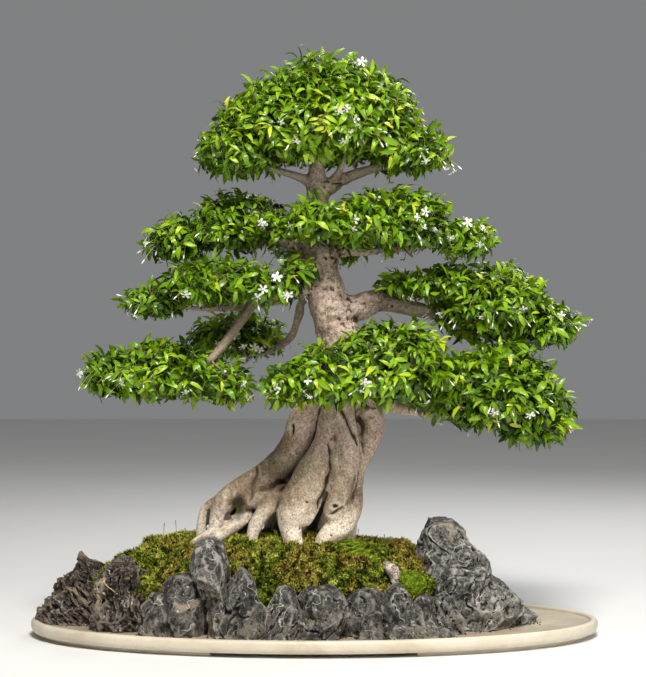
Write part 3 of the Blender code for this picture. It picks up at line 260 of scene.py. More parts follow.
CREASE_HALF_WIDTH = 0.0014
CREASE_FADE = 0.016
VALLEY_DEPTH = 0.0026
VALLEY_HALF_WIDTH = 0.0062
WOOD_LOW = (-0.330, -0.172, 0.096)
WOOD_HIGH = (0.392, 0.180, 0.832)
WOOD_STEP = 0.0022
WOOD_BLEND = 0.0022
SCAR_COUNT = 26
SCAR_RADII = (0.0050, 0.0085)
WOOD_SHARE = 0.52
MOSS_AND_SHADE_DEPTH = -0.024
MOSS_AND_SHADE_TOP = 0.228

# Foliage: each pad is a list of lobes (x, y, z, half length, half depth, height, depth below)
PADS = {
    "crown": (
        (0.017, 0.000, 0.796, 0.165, 0.150, 0.139, 0.051),
        (-0.119, 0.000, 0.758, 0.085, 0.110, 0.076, 0.025),
        (0.150, 0.000, 0.764, 0.082, 0.110, 0.068, 0.027),
        (0.100, -0.010, 0.820, 0.084, 0.110, 0.070, 0.050),
        (-0.090, 0.010, 0.812, 0.088, 0.105, 0.068, 0.050),
    ),
    "left_upper": (
        (-0.125, 0.050, 0.640, 0.112, 0.105, 0.086, 0.025),
        (-0.222, 0.045, 0.624, 0.068, 0.090, 0.062, 0.027),
        (-0.070, 0.040, 0.646, 0.062, 0.085, 0.062, 0.026),
    ),
    "left_mid": (
        (-0.146, -0.050, 0.546, 0.118, 0.120, 0.066, 0.015),
        (-0.250, -0.040, 0.530, 0.068, 0.085, 0.042, 0.026),
        (-0.070, -0.085, 0.550, 0.066, 0.075, 0.030, 0.022),
        (-0.026, -0.080, 0.574, 0.046, 0.045, 0.034, 0.018),
    ),
    "left_low": (
        (-0.236, -0.050, 0.406, 0.122, 0.120, 0.078, 0.033),
        (-0.322, -0.045, 0.412, 0.060, 0.090, 0.060, 0.035),
        (-0.140, -0.070, 0.396, 0.062, 0.090, 0.056, 0.028),
    ),
    "back_left": (
        (-0.127, 0.126, 0.470, 0.104, 0.085, 0.062, 0.030),
    ),
    "right_upper": (
        (0.113, -0.030, 0.638, 0.140, 0.120, 0.086, 0.026),
        (0.000, -0.070, 0.650, 0.066, 0.075, 0.054, 0.028),
        (0.238, -0.025, 0.628, 0.067, 0.085, 0.046, 0.026),
    ),
    "right_mid": (
        (0.285, 0.020, 0.518, 0.115, 0.130, 0.086, 0.056),
        (0.366, 0.015, 0.494, 0.074, 0.095, 0.052, 0.042),
        (0.215, 0.000, 0.556, 0.060, 0.090, 0.047, 0.034),
        (0.152, 0.000, 0.556, 0.078, 0.080, 0.034, 0.020),
    ),
    "right_low": (
        (0.284, -0.045, 0.370, 0.122, 0.130, 0.114, 0.042),
        (0.346, -0.040, 0.350, 0.084, 0.100, 0.086, 0.052),
        (0.196, -0.050, 0.372, 0.066, 0.090, 0.094, 0.016),
    ),
    "front_low": (
        (0.095, -0.138, 0.404, 0.104, 0.096, 0.109, 0.036),
        (0.020, -0.138, 0.402, 0.088, 0.090, 0.079, 0.032),
        (-0.034, -0.140, 0.400, 0.066, 0.080, 0.046, 0.036),
        (0.150, -0.140, 0.420, 0.074, 0.085, 0.088, 0.036),
    ),
    "back_low": (
        (0.095, 0.145, 0.420, 0.120, 0.092, 0.062, 0.034),
    ),
    "back_upper": (
        (0.012, 0.145, 0.622, 0.100, 0.088, 0.036, 0.028),
    ),
}

# How much darker or paler a pad's leaves are than the others': painted shade on the pads that the light
# reaches less
PAD_PAINTED_SHADES = {"left_upper": -0.05, "left_mid": -0.06, "left_low": -0.05, "right_low": -0.04}

# The branches that carry each pad's twigs, where they aren't named like the pad
CARRIERS = {
    "crown": ("crown_left", "crown_right", "crown_front", "crown_back"),
    "front_low": ("front_low", "front_low_left", "front_low_right"),
}

# Leaves, twigs and flowers
LEAF_LENGTHS = (0.020, 0.034)
LEAF_SLIMNESS = (0.24, 0.36)
LEAF_BENDS = (0.6, 2.6)
LEAF_TWIST = 0.35
OUTER_SPACING = 0.0138
INNER_SPACING = 0.023
OUTER_SHARES = (0.80, 1.0)
INNER_SHARES = (0.40, 0.72)
RIM_INSET = 0.019
TOP_INSET = 0.014
UNDER_INSET = 0.010
SHOOT_NODES = (0.0, 0.010, 0.019, 0.025)
INNER_NODES = (0.0, 0.014)

# Outlines between foot and tip, as (share of the length, share of half the width)
LEAF_OUTLINE = ((0.20, 0.68), (0.50, 1.0), (0.80, 0.58))
INNER_OUTLINE = ((0.30, 0.90), (0.68, 0.80))
PETAL_OUTLINE = ((0.35, 0.62), (0.76, 1.0))
PETAL_LENGTH = 0.0084
PETAL_WIDTH = 0.0044
BUD_RADII = (0.0005, 0.0011, 0.0014, 0.0010, 0.0003)
BUD_LENGTH = 0.010
STALK_RADII = (0.0005, 0.00045, 0.0005, 0.0010)
CLUSTERS_PER_AREA = 360.0
OPEN_SHARE = 0.40
TIP_LIMIT_X = 0.452
TIP_LIMIT_Y = 0.243


# Rocks
ROCK_VOXEL = 0.0021
ROCK_SWELL = 0.0048
ROCK_HEIGHT = 0.950
ROCK_HEIGHTS = {
    "rock_slab_left": 0.86, "rock_ridge_left": 0.80, "rock_front_block": 0.87, "rock_tower": 0.925}
ROCK_WIDTHS = {"rock_slab_left": 1.14, "rock_ridge_left": 1.06, "rock_dark_small": 1.12}
ROCK_PEAKS = {"rock_ridge_left": (-0.3760, 0.010, 0.016)}
ROCK_SHARP_ANGLE = 25.0
ROCK_FACE = 0.0185
NETTED_FACE = 0.0090
ROCK_SHARE = 0.36
BACK_SHARE = 0.22
NETTED_ROCKS = ("rock_ridge_left", "rock_slab_left", "rock_toe_left")
PALE_TOWER = ("rock_tower", "rock_shoulder", "rock_toe_right", "rock_head_tall")


# Moss, and the small things in and beside it
MOSS_CUSHIONS = ((24.0, 0.010, 77), (58.0, 0.0065, 87), (130.0, 0.0028, 97))
MOSS_LIFTS = ((0.118, 0.045, 0.012), (0.160, 0.030, 0.020), (-0.250, 0.040, 0.006))
MOSS_DIP = (0.126, -0.112, 0.026, 0.015)
GROUND_SHARE = 0.50
TUFT_COUNT = 21000
TUFT_BLADES = 4
BLADE_PATCH = (0.066, -0.062)
BLADE_COUNT = 420
CUSHION_PLACE = (0.147, -0.094, 0.091)
CUSHION_SIZE = (0.024, 0.022, 0.020)
STALKS = (
    (-0.262, -0.020, 0.020), (-0.241, -0.005, 0.026), (-0.221, 0.000, 0.028),
    (-0.204, 0.005, 0.018), (-0.187, 0.000, 0.015), (0.070, 0.010, 0.016),
    (0.112, -0.010, 0.018), (0.122, -0.015, 0.014),
)
FALLEN_TWIG = ((-0.332, 0.106), (-0.325, 0.099), (-0.318, 0.092), (-0.310, 0.086), (-0.302, 0.080))
CRUMBS_EACH = 55


# Arrays of points

def unit(vectors):
    """Vectors brought to length one."""
    return vectors / np.maximum(np.linalg.norm(vectors, axis=-1, keepdims=True), 1e-9)


def lattice(cells, seed):
    """A random number from -1 to 1 for each integer cell."""
    mask = np.uint64(0xFFFFFFFF)
    number = cells.astype(np.int64).astype(np.uint64)
    value = (
        number[..., 0] * np.uint64(374761393) + number[..., 1] * np.uint64(668265263)
        + number[..., 2] * np.uint64(1442695041) + np.uint64(seed * 9301 + 49297)) & mask
    for _ in range(2):
        value = ((value ^ (value >> np.uint64(13))) * np.uint64(1274126177)) & mask
        value = value ^ (value >> np.uint64(16))
    return (value & np.uint64(0xFFFF)).astype(float) / 32767.5 - 1.0


def soft_noise(points, per_metre, seed=0):
    """Smooth noise from -1 to 1 at points. per_metre is one number, or one for each axis."""
    place = points * np.asarray(per_metre, float)
    cell = np.floor(place)
    part = place - cell
    part = part * part * (3.0 - 2.0 * part)
    total = np.zeros(len(points))
    for corner in np.ndindex(2, 2, 2):
        corner = np.array(corner)
        weight = np.prod(np.where(corner, part, 1.0 - part), axis=1)
        total += weight * lattice(cell + corner, seed)
    return total


def layered_noise(points, per_metre, seed=0, octaves=4, ridged=False):
    """Noise summed over finer and finer steps. Ridged noise has sharp crests."""
    total, size, weight = np.zeros(len(points)), 1.0, 1.0
    for number in range(octaves):
        layer = soft_noise(points, np.asarray(per_metre, float) * size, seed + number * 17)
        total += weight * (1.0 - 2.0 * np.abs(layer) if ridged else layer)
        size *= 2.05
        weight *= 0.5
    return total


def cell_noise(points, per_metre, seed=0):
    """Distances to the nearest and the second nearest of scattered points, in cells."""
    place = points * np.asarray(per_metre, float)
    cell = np.floor(place)
    first = np.full(len(points), 9.0)
    second = np.full(len(points), 9.0)
    for offset in np.ndindex(3, 3, 3):
        there = cell + np.array(offset) - 1.0
        jitter = np.stack([lattice(there, seed + k) for k in (1, 2, 3)], axis=1) * 0.5 + 0.5
        far = np.linalg.norm(there + jitter - place, axis=1)
        second = np.minimum(second, np.maximum(first, far))
        first = np.minimum(first, far)
    return first, second


# Meshes

def facets(points, per_metre, seed, slope, step):
    """Relief of broken planes: each scattered cell tilts and steps by an amount of its own."""
    place = points * np.asarray(per_metre, float)
    cell = np.floor(place)
    best = np.full(len(points), 9.0)
    relief = np.zeros(len(points))
    for offset in np.ndindex(3, 3, 3):
        there = cell + np.array(offset) - 1.0
        jitter = np.stack([lattice(there, seed + k) for k in (1, 2, 3)], axis=1) * 0.5 + 0.5
        away = place - there - jitter
        far = np.linalg.norm(away, axis=1)
        tilt = np.stack([lattice(there, seed + k) for k in (4, 5, 6)], axis=1)
        value = slope * np.sum(away * tilt, axis=1) + step * lattice(there, seed + 7)
        relief = np.where(far < best, value, relief)
        best = np.minimum(best, far)
    return relief


class Heap:
    """Gathers vertices, triangles, material numbers and one vector value for one piece."""

    def __init__(self):
        self.points, self.triangles, self.slots, self.values, self.count = [], [], [], [], 0

    def add(self, points, triangles, slot, values):
        """Add a batch, given as flat arrays."""
        self.points.append(points)
        self.triangles.append(triangles + self.count)
        self.slots.append(np.full(len(triangles), slot))
        self.values.append(values)
        self.count += len(points)

    def build(self, name, materials):
        """Turn what was gathered into an object."""
        piece = mesh_object(
            name, np.concatenate(self.points), np.concatenate(self.triangles), materials,
            np.concatenate(self.slots))
        set_values(piece, "leaf", np.concatenate(self.values))
        return piece


def mesh_object(name, points, triangles, materials, slots=None):
    """A smooth-shaded object from arrays of points and triangles."""
    mesh = bpy.data.meshes.new(name)
    mesh.vertices.add(len(points))
    mesh.vertices.foreach_set("co", points.astype(np.float32).ravel())
    mesh.loops.add(3 * len(triangles))
    mesh.loops.foreach_set("vertex_index", triangles.astype(np.int32).ravel())
    mesh.polygons.add(len(triangles))
    mesh.polygons.foreach_set("loop_start", np.arange(len(triangles), dtype=np.int32) * 3)
    for material in materials:
        mesh.materials.append(material)
    if slots is not None:
        mesh.polygons.foreach_set("material_index", slots.astype(np.int32))
    mesh.update(calc_edges=True)
    mesh.shade_smooth()
    piece = bpy.data.objects.new(name, mesh)
    bpy.context.scene.collection.objects.link(piece)
    return piece


def set_values(piece, name, values):
    """Store one number or one vector for each vertex, for the materials to read."""
    kind, field = ("FLOAT", "value") if values.ndim == 1 else ("FLOAT_VECTOR", "vector")
    attribute = piece.data.attributes.new(name, kind, "POINT")
    attribute.data.foreach_set(field, values.astype(np.float32).ravel())


def read_points(piece):
    """A mesh object's vertices as an array."""
    points = np.empty(len(piece.data.vertices) * 3, np.float32)
    piece.data.vertices.foreach_get("co", points)
    return points.reshape(-1, 3).astype(float)


def read_normals(piece):
    """A mesh object's vertex normals as an array."""
    normals = np.empty(len(piece.data.vertices) * 3, np.float32)
    piece.data.vertex_normals.foreach_get("vector", normals)
    return normals.reshape(-1, 3).astype(float)


def write_points(piece, points):
    """Put an array back into a mesh object's vertices."""
    piece.data.vertices.foreach_set("co", points.astype(np.float32).ravel())
    piece.data.update()


def read_edges(piece):
    """A mesh object's edges as pairs of vertex numbers."""
    edges = np.empty(len(piece.data.edges) * 2, np.int32)
    piece.data.edges.foreach_get("vertices", edges)
    return edges.reshape(-1, 2)


def smoothed(points, edges, rounds):
    """Points moved towards the middle of their neighbours, some rounds over."""
    ends = np.concatenate([edges[:, 0], edges[:, 1]])
    others = np.concatenate([edges[:, 1], edges[:, 0]])
    count = np.maximum(np.bincount(ends, minlength=len(points)), 1)[:, None]
    for _ in range(rounds):
        total = np.stack(
            [np.bincount(ends, points[others, k], len(points)) for k in range(3)], axis=1)
        points = 0.5 * points + 0.5 * total / count
    return points


def store_hollows(piece, rounds):
    """Store how deep each vertex lies in a hollow, in millimetres; crests are below zero."""
    points = read_points(piece)
    level = smoothed(points, read_edges(piece), rounds)
    set_values(piece, "hollow", np.sum((level - points) * read_normals(piece), axis=1) * 1000)


def applied(piece):
    """Apply an object's modifiers, in place."""
    graph = bpy.context.evaluated_depsgraph_get()
    graph.update()
    mesh = bpy.data.meshes.new_from_object(piece.evaluated_get(graph))
    piece.modifiers.clear()
    piece.data = mesh
    piece.data.shade_smooth()
    return piece


def remeshed(piece, voxel):
    """Apply a voxel remesh to an object, in place."""
    step = piece.modifiers.new("remesh", "REMESH")
    step.mode = "VOXEL"
    step.voxel_size = voxel
    step.use_smooth_shade = True
    return applied(piece)


def thinned(piece, share):
    """Collapse an object's mesh to a share of its triangles, in place; stored values stay."""
    step = piece.modifiers.new("thin", "DECIMATE")
    step.ratio = share
    return applied(piece)


def faceted(piece, size):
    """Break an object's surface into flat faces of about one size, and cut each one fine again."""
    faces = piece.data.polygons
    wanted = sum(face.area for face in faces) / (0.5 * size * size)
    thinned(piece, wanted / sum(len(face.vertices) - 2 for face in faces))
    step = piece.modifiers.new("cut", "SUBSURF")
    step.subdivision_type = "SIMPLE"
    step.levels = 3
    return applied(piece)


def node_copy(name, node):
    """A new object with a copy of a CAD node's mesh."""
    piece = bpy.data.objects.new(name, nodes[node].data.copy())
    bpy.context.scene.collection.objects.link(piece)
    return piece


def dress(piece, material, replaced=()):
    """Give a finished piece its material and its body, and hide the CAD nodes that it stands for."""
    if material is not None:
        piece.data.materials.clear()
        piece.data.materials.append(material)
    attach(piece, "root")
    if replaced:
        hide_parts(*replaced)
    return piece


def search_tree(piece):
    """A tree for rays and nearest points on an object's faces."""
    return BVHTree.FromPolygons(
        [vertex.co for vertex in piece.data.vertices],
        [tuple(face.vertices) for face in piece.data.polygons])


# Tubes and blades, in batches

def cross_frame(paths):
    """Tangents of a batch of paths, and two directions across them."""
    tangent = unit(np.gradient(paths, axis=1))
    steep = np.abs(tangent[..., 2:3]) > 0.95
    guide = np.where(steep, np.array([1.0, 0.0, 0.0]), np.array([0.0, 0.0, 1.0]))
    side = unit(np.cross(tangent, guide))
    return tangent, side, np.cross(side, tangent)


def tubes(paths, radii, sides):
    """Tubes along a batch of paths, each closed to a point at its end: points and triangles."""
    count, steps = paths.shape[:2]
    tangent, side, up = cross_frame(paths)
    angle = np.arange(sides) * math.tau / sides
    ring = (
        np.cos(angle)[:, None] * side[:, :, None, :] + np.sin(angle)[:, None] * up[:, :, None, :])
    points = paths[:, :, None, :] + radii[:, :, None, None] * ring
    tips = paths[:, -1:] + tangent[:, -1:] * radii[:, -1:, None]
    points = np.concatenate([points.reshape(count, steps * sides, 3), tips], axis=1)
    i = np.arange(steps - 1)[:, None] * sides
    j = np.arange(sides)[None, :]
    after = (j + 1) % sides
    low, low_after = (i + j).ravel(), (i + after).ravel()
    one = np.stack([low, low_after, low_after + sides], axis=1)
    two = np.stack([low, low_after + sides, low + sides], axis=1)
    last = (steps - 1) * sides
    cap = np.stack([
        last + j.ravel(), last + after.ravel(), np.full(sides, steps * sides)], axis=1)
    pattern = np.concatenate([one, two, cap])
    each = steps * sides + 1
    triangles = pattern[None] + (np.arange(count) * each)[:, None, None]
    return points.reshape(-1, 3), triangles.reshape(-1, 3)


def blades(base, along, face, length, width, bend, fold, twist, tone, outline):
    """Leaves or petals: thin, folded on the midrib, twisted and bent back from their faces."""
    side = unit(np.cross(face, along))
    face = np.cross(along, side)
    stations = [(0.0, 0.0, 0.0)]
    for t, half in outline:
        stations += [(t, -1.0, half), (t, 0.0, half), (t, 1.0, half)]
    stations.append((1.0, 0.0, 0.0))
    t, across, half = np.array(stations).T
    turn = bend[:, None] * t[None]
    turned = twist[:, None] * t[None]
    wide = (across * half)[None] * width[:, None] * 0.5
    x = length[:, None] * np.sin(turn) / bend[:, None]
    y = wide * np.cos(turned)
    z = (fold[:, None] * np.abs(wide) + wide * np.sin(turned)
         - length[:, None] * (1.0 - np.cos(turn)) / bend[:, None])
    points = (
        base[:, None] + x[..., None] * along[:, None] + y[..., None] * side[:, None]
        + z[..., None] * face[:, None])
    pattern = [(0, 2, 1), (0, 3, 2)]
    for row in range(1, 3 * len(outline) - 2, 3):
        for k in (row, row + 1):
            pattern += [(k, k + 1, k + 4), (k, k + 4, k + 3)]
    last = 3 * len(outline) + 1
    pattern += [(last - 3, last - 2, last), (last - 2, last - 1, last)]
    triangles = np.array(pattern)[None] + (np.arange(len(base)) * (last + 1))[:, None, None]
    values = np.stack([
        np.broadcast_to(t, x.shape), np.broadcast_to(across, x.shape),
        np.broadcast_to(tone[:, None], x.shape)], axis=-1)
    return points.reshape(-1, 3), triangles.reshape(-1, 3), values.reshape(-1, 3)


def plain_values(points, number):
    """The same value at each point of a batch that isn't a leaf."""
    return np.tile(np.array([[0.5, 0.0, number]]), (len(points), 1))


# Materials

class Tree:
    """A material's node tree, with short calls to fill it."""

    def __init__(self, name):
        self.material = bpy.data.materials.new(name)
        self.material.use_nodes = True
        self.nodes = self.material.node_tree.nodes
        self.links = self.material.node_tree.links
        self.shader = self.nodes["Principled BSDF"]
        self.place = self.node("ShaderNodeTexCoord").outputs["Object"]

    def node(self, kind, **settings):
        """A new node with these settings."""
        item = self.nodes.new(kind)
        for name, value in settings.items():
            setattr(item, name, value)
        return item

    def feed(self, socket, value):
        """Link a socket to another, or set it to a value."""
        if isinstance(value, bpy.types.NodeSocket):
            self.links.new(value, socket)
        else:
            socket.default_value = value

    def stretched(self, scale):
        """The object's coordinates, scaled by axis."""
        item = self.node("ShaderNodeMapping")
        self.feed(item.inputs["Vector"], self.place)
        self.feed(item.inputs["Scale"], scale)
        return item.outputs["Vector"]

    def noise(self, scale, detail=4.0, roughness=0.55, distortion=0.0, place=None):
        """Noise from 0 to 1."""
        item = self.node("ShaderNodeTexNoise")
        self.feed(item.inputs["Vector"], place or self.place)
        self.feed(item.inputs["Scale"], scale)
        self.feed(item.inputs["Detail"], detail)
        self.feed(item.inputs["Roughness"], roughness)
        self.feed(item.inputs["Distortion"], distortion)
        return item.outputs["Fac"]

    def cells(self, scale, feature="F1", place=None):
        """The distance that a Voronoi pattern gives."""
        item = self.node("ShaderNodeTexVoronoi", feature=feature)
        self.feed(item.inputs["Vector"], place or self.place)
        self.feed(item.inputs["Scale"], scale)
        return item.outputs["Distance"]

    def attribute(self, name, output="Fac"):
        """A value that the mesh stores."""
        return self.node("ShaderNodeAttribute", attribute_name=name).outputs[output]

    def math(self, operation, first, second=0.0, clamp=False):
        """One sum."""
        item = self.node("ShaderNodeMath", operation=operation, use_clamp=clamp)
        self.feed(item.inputs[0], first)
        self.feed(item.inputs[1], second)
        return item.outputs[0]

    def span(self, value, low, high, start=0.0, end=1.0):
        """A value brought from one span to another, and held inside it."""
        item = self.node("ShaderNodeMapRange", interpolation_type="SMOOTHSTEP")
        for number, entry in enumerate((value, low, high, start, end)):
            self.feed(item.inputs[number], entry)
        return item.outputs[0]

    def ramp(self, value, stops):
        """Colours along a value."""
        item = self.node("ShaderNodeValToRGB")
        entries = item.color_ramp.elements
        while len(entries) < len(stops):
            entries.new(1.0)
        for entry, (position, colour) in zip(entries, stops):
            entry.position = position
            entry.color = (*colour, 1.0)
        self.feed(item.inputs[0], value)
        return item.outputs[0]

    def mix(self, share, first, second, blend="MIX"):
        """Two colours mixed."""
        item = self.node("ShaderNodeMix", data_type="RGBA", blend_type=blend)
        self.feed(item.inputs[0], share)
        for socket, value in ((item.inputs[6], first), (item.inputs[7], second)):
            self.feed(socket, (*value, 1.0) if isinstance(value, tuple) else value)
        return item.outputs[2]

    def bump(self, height, strength, distance, normal=None):
        """A relief from a height."""
        item = self.node("ShaderNodeBump")
        self.feed(item.inputs["Height"], height)
        self.feed(item.inputs["Strength"], strength)
        self.feed(item.inputs["Distance"], distance)
        if normal is not None:
            self.feed(item.inputs["Normal"], normal)
        return item.outputs["Normal"]

    def greyed(self, colour, level):
        """A colour made darker or lighter by a level."""
        grey = self.node("ShaderNodeCombineColor")
        for socket in grey.inputs:
            self.feed(socket, level)
        return self.mix(1.0, colour, grey.outputs[0], "MULTIPLY")

    def finish(self, colour, roughness, normal=None, specular=0.5):
        """Feed the shader and hand over the material."""
        self.feed(self.shader.inputs["Base Color"], colour)
        self.feed(self.shader.inputs["Roughness"], roughness)
        self.shader.inputs["Specular IOR Level"].default_value = specular
        if normal is not None:
            self.feed(self.shader.inputs["Normal"], normal)
        return self.material

    def let_light_through(self, colour, share):
        """Mix a share of light that passes through a thin sheet into the surface."""
        through = self.node("ShaderNodeBsdfTranslucent")
        self.feed(through.inputs["Color"], colour)
        blend = self.node("ShaderNodeMixShader")
        self.feed(blend.inputs[0], share)
        self.feed(blend.inputs[1], self.shader.outputs[0])
        self.feed(blend.inputs[2], through.outputs[0])
        self.feed(self.nodes["Material Output"].inputs["Surface"], blend.outputs[0])


def leaf_material():
    """Glossy leaves: paler midrib, side veins, and a tone of its own for each leaf."""
    tree = Tree("leaf")
    parts = tree.node("ShaderNodeSeparateXYZ")
    tree.feed(parts.inputs[0], tree.attribute("leaf", "Vector"))
    along, across, tone = parts.outputs
    patch = tree.noise(30.0, 3.0)
    shade = tree.math("ADD", tone, tree.math("MULTIPLY", tree.math("SUBTRACT", patch, 0.5), 0.35))
    green = tree.ramp(shade, (
        (0.0, (0.004, 0.012, 0.001)), (0.22, (0.034, 0.084, 0.001)), (0.46, (0.118, 0.245, 0.003)),
        (0.72, (0.255, 0.425, 0.010)), (1.0, (0.590, 0.590, 0.040))))
    edge = tree.math("ABSOLUTE", across)
    rib = tree.span(edge, 0.02, 0.14, 1.0, 0.0)
    slant = tree.math("ADD", tree.math("MULTIPLY", along, 44.0), tree.math("MULTIPLY", edge, -7.0))
    vein = tree.span(tree.math("SINE", slant), 0.55, 1.0)
    lines = tree.math("MAXIMUM", rib, tree.math("MULTIPLY", vein, 0.35))
    pale = tree.mix(1.0, green, (1.6, 1.4, 1.5), "MULTIPLY")
    colour = tree.mix(tree.math("MULTIPLY", lines, 0.55), green, pale)
    relief = tree.bump(tree.math("SUBTRACT", 1.0, lines), 0.25, 0.0006)
    tree.finish(colour, tree.span(patch, 0.3, 0.7, 0.25, 0.36), relief, specular=0.45)
    tree.let_light_through(tree.mix(1.0, colour, (1.5, 1.35, 0.5), "MULTIPLY"), 0.22)
    return tree.material


def twig_material():
    """Thin brown-green twigs."""
    tree = Tree("twig")
    colour = tree.ramp(tree.noise(180.0), (
        (0.3, (0.130, 0.078, 0.050)), (0.55, (0.260, 0.175, 0.120)), (0.75, (0.330, 0.270, 0.170))))
    return tree.finish(colour, 0.75, tree.bump(tree.noise(700.0), 0.4, 0.0004))


def petal_material():
    """White petals with a warm heart and faint lines."""
    tree = Tree("petal")
    parts = tree.node("ShaderNodeSeparateXYZ")
    tree.feed(parts.inputs[0], tree.attribute("leaf", "Vector"))
    along, across, _ = parts.outputs
    heart = tree.span(along, 0.0, 0.3, 1.0, 0.0)
    lines = tree.span(tree.math("SINE", tree.math("MULTIPLY", across, 11.0)), 0.3, 1.0, 0.0, 0.14)
    white = tree.mix(lines, (0.88, 0.89, 0.86), (0.66, 0.70, 0.62))
    colour = tree.mix(heart, white, (0.74, 0.72, 0.36))
    tree.finish(colour, 0.55, specular=0.3)
    tree.let_light_through(colour, 0.2)
    return tree.material


def straw_material():
    """A dry, straw-coloured twig."""
    tree = Tree("straw")
    colour = tree.ramp(tree.noise(220.0, 3.0), (
        (0.3, (0.330, 0.230, 0.090)), (0.7, (0.620, 0.500, 0.230))))
    return tree.finish(colour, 0.7)


def stalk_material():
    """Pale green flower stalks and the bases of the buds."""
    tree = Tree("stalk")
    colour = tree.ramp(tree.noise(90.0), (
        (0.3, (0.150, 0.230, 0.060)), (0.7, (0.360, 0.420, 0.160))))
    return tree.finish(colour, 0.5)


def bark_material():
    """Warm grey bark with a lilac cast, cream at its feet, dotted with pits; painted shade in its
    hollows, creases and valleys, and painted highlights on its crests.
    """
    tree = Tree("bark")
    height = tree.node("ShaderNodeSeparateXYZ")
    tree.feed(height.inputs[0], tree.place)
    hollow = tree.attribute("hollow")
    grain = tree.noise(1.0, 6.0, 0.65, 0.5, tree.stretched((200.0, 200.0, 70.0)))
    patches = tree.noise(20.0, 5.0, 0.65, 0.8)
    fine = tree.noise(270.0, 4.0, 0.75)
    base = tree.ramp(tree.math("ADD", tree.math("MULTIPLY", patches, 0.65), tree.math(
        "MULTIPLY", grain, 0.35)), (
        (0.34, (0.090, 0.064, 0.040)), (0.45, (0.225, 0.172, 0.118)),
        (0.56, (0.345, 0.275, 0.196)), (0.68, (0.490, 0.405, 0.300))))
    lilac = tree.math("MULTIPLY", tree.span(tree.noise(11.0, 2.0), 0.44, 0.60), tree.span(
        height.outputs[2], 0.22, 0.32))
    base = tree.mix(tree.math("MULTIPLY", lilac, 0.55), base, (0.300, 0.215, 0.205))
    cream = tree.span(height.outputs[2], 0.225, 0.165)
    base = tree.mix(tree.math("MULTIPLY", cream, 0.80), base, (0.780, 0.675, 0.545))
    # Browner and darker over the left root: partly its own colour, partly painted shade
    brown = tree.math("MULTIPLY", tree.span(height.outputs[0], -0.010, -0.060), tree.span(
        height.outputs[2], 0.195, 0.225))
    brown = tree.math("MULTIPLY", brown, tree.span(tree.noise(26.0, 4.0, 0.6), 0.36, 0.56, 0.35, 1.0))
    base = tree.mix(tree.math("MULTIPLY", brown, 0.92), base, (0.150, 0.106, 0.060))
    # The bark's lightness by place, painted light and shade: lighter above the feet, darker at the left
    # and on the upper trunk
    stem = tree.span(height.outputs[2], 0.225, 0.180, 1.66, 1.20)
    stem = tree.math("MULTIPLY", stem, tree.span(height.outputs[0], -0.020, -0.080, 1.0, 0.68))
    stem = tree.math("MULTIPLY", stem, tree.span(height.outputs[2], 0.38, 0.46, 1.0, 0.87))
    base = tree.greyed(base, tree.math("MULTIPLY", tree.span(fine, 0.36, 0.64, 0.55, 1.25), stem))
    ochre = tree.span(tree.noise(38.0, 3.0, 0.6, 0.5), 0.60, 0.70)
    base = tree.mix(tree.math("MULTIPLY", ochre, 0.55), base, (0.330, 0.175, 0.070))
    pits = tree.span(
        tree.cells(1.0, "F1", tree.stretched((150.0, 150.0, 210.0))), 0.10, 0.24, 1.0, 0.0)
    pits = tree.math("MULTIPLY", pits, tree.span(tree.noise(45.0), 0.40, 0.52))
    # Painted highlight: the crests lightened
    painted_crest_highlight = tree.span(hollow, -0.05, -0.7)
    base = tree.mix(tree.math("MULTIPLY", painted_crest_highlight, 0.34), base, (0.740, 0.650, 0.545))
    # Painted shade: the hollows darkened nearly to black
    dark = tree.span(hollow, 0.10, 0.60)
    base = tree.mix(tree.math("MULTIPLY", dark, 0.94), base, (0.026, 0.016, 0.009))
    base = tree.mix(tree.math("MULTIPLY", pits, 0.78), base, (0.070, 0.042, 0.028))
    # Painted shade: soft darkening along the valleys beside the creases
    soft = tree.math("MULTIPLY", tree.span(tree.attribute("valley"), 0.35, 1.0), tree.span(
        patches, 0.36, 0.60, 0.35, 0.75))
    base = tree.mix(soft, base, (0.120, 0.086, 0.050))
    # Painted shade: dark lines in the creases
    line = tree.span(tree.attribute("crease"), 0.22, 0.85)
    base = tree.mix(tree.math("MULTIPLY", line, 0.94), base, (0.022, 0.014, 0.008))
    damp = tree.math("MULTIPLY", tree.span(height.outputs[2], 0.172, 0.150), tree.span(
        tree.noise(60.0), 0.46, 0.62))
    base = tree.mix(tree.math("MULTIPLY", damp, 0.8), base, (0.330, 0.190, 0.070))
    green = tree.math("MULTIPLY", tree.span(hollow, 1.4, 2.2), tree.span(
        height.outputs[2], 0.24, 0.22))
    base = tree.mix(tree.math("MULTIPLY", green, 0.8), base, (0.120, 0.150, 0.015))
    # Dark felt behind the toes and in the cavity: partly moss, partly painted shade
    felt = tree.ramp(tree.noise(75.0, 4.0, 0.7), (
        (0.38, (0.012, 0.009, 0.004)), (0.52, (0.045, 0.034, 0.014)), (0.66, (0.085, 0.100, 0.012))))
    base = tree.mix(tree.attribute("mossy"), base, felt)
    relief = tree.bump(grain, 0.5, 0.0012)
    relief = tree.bump(fine, 0.40, 0.0006, relief)
    relief = tree.bump(tree.math("SUBTRACT", 1.0, pits), 0.7, 0.0014, relief)
    return tree.finish(base, tree.span(fine, 0.3, 0.7, 0.60, 0.85), relief, specular=0.3)


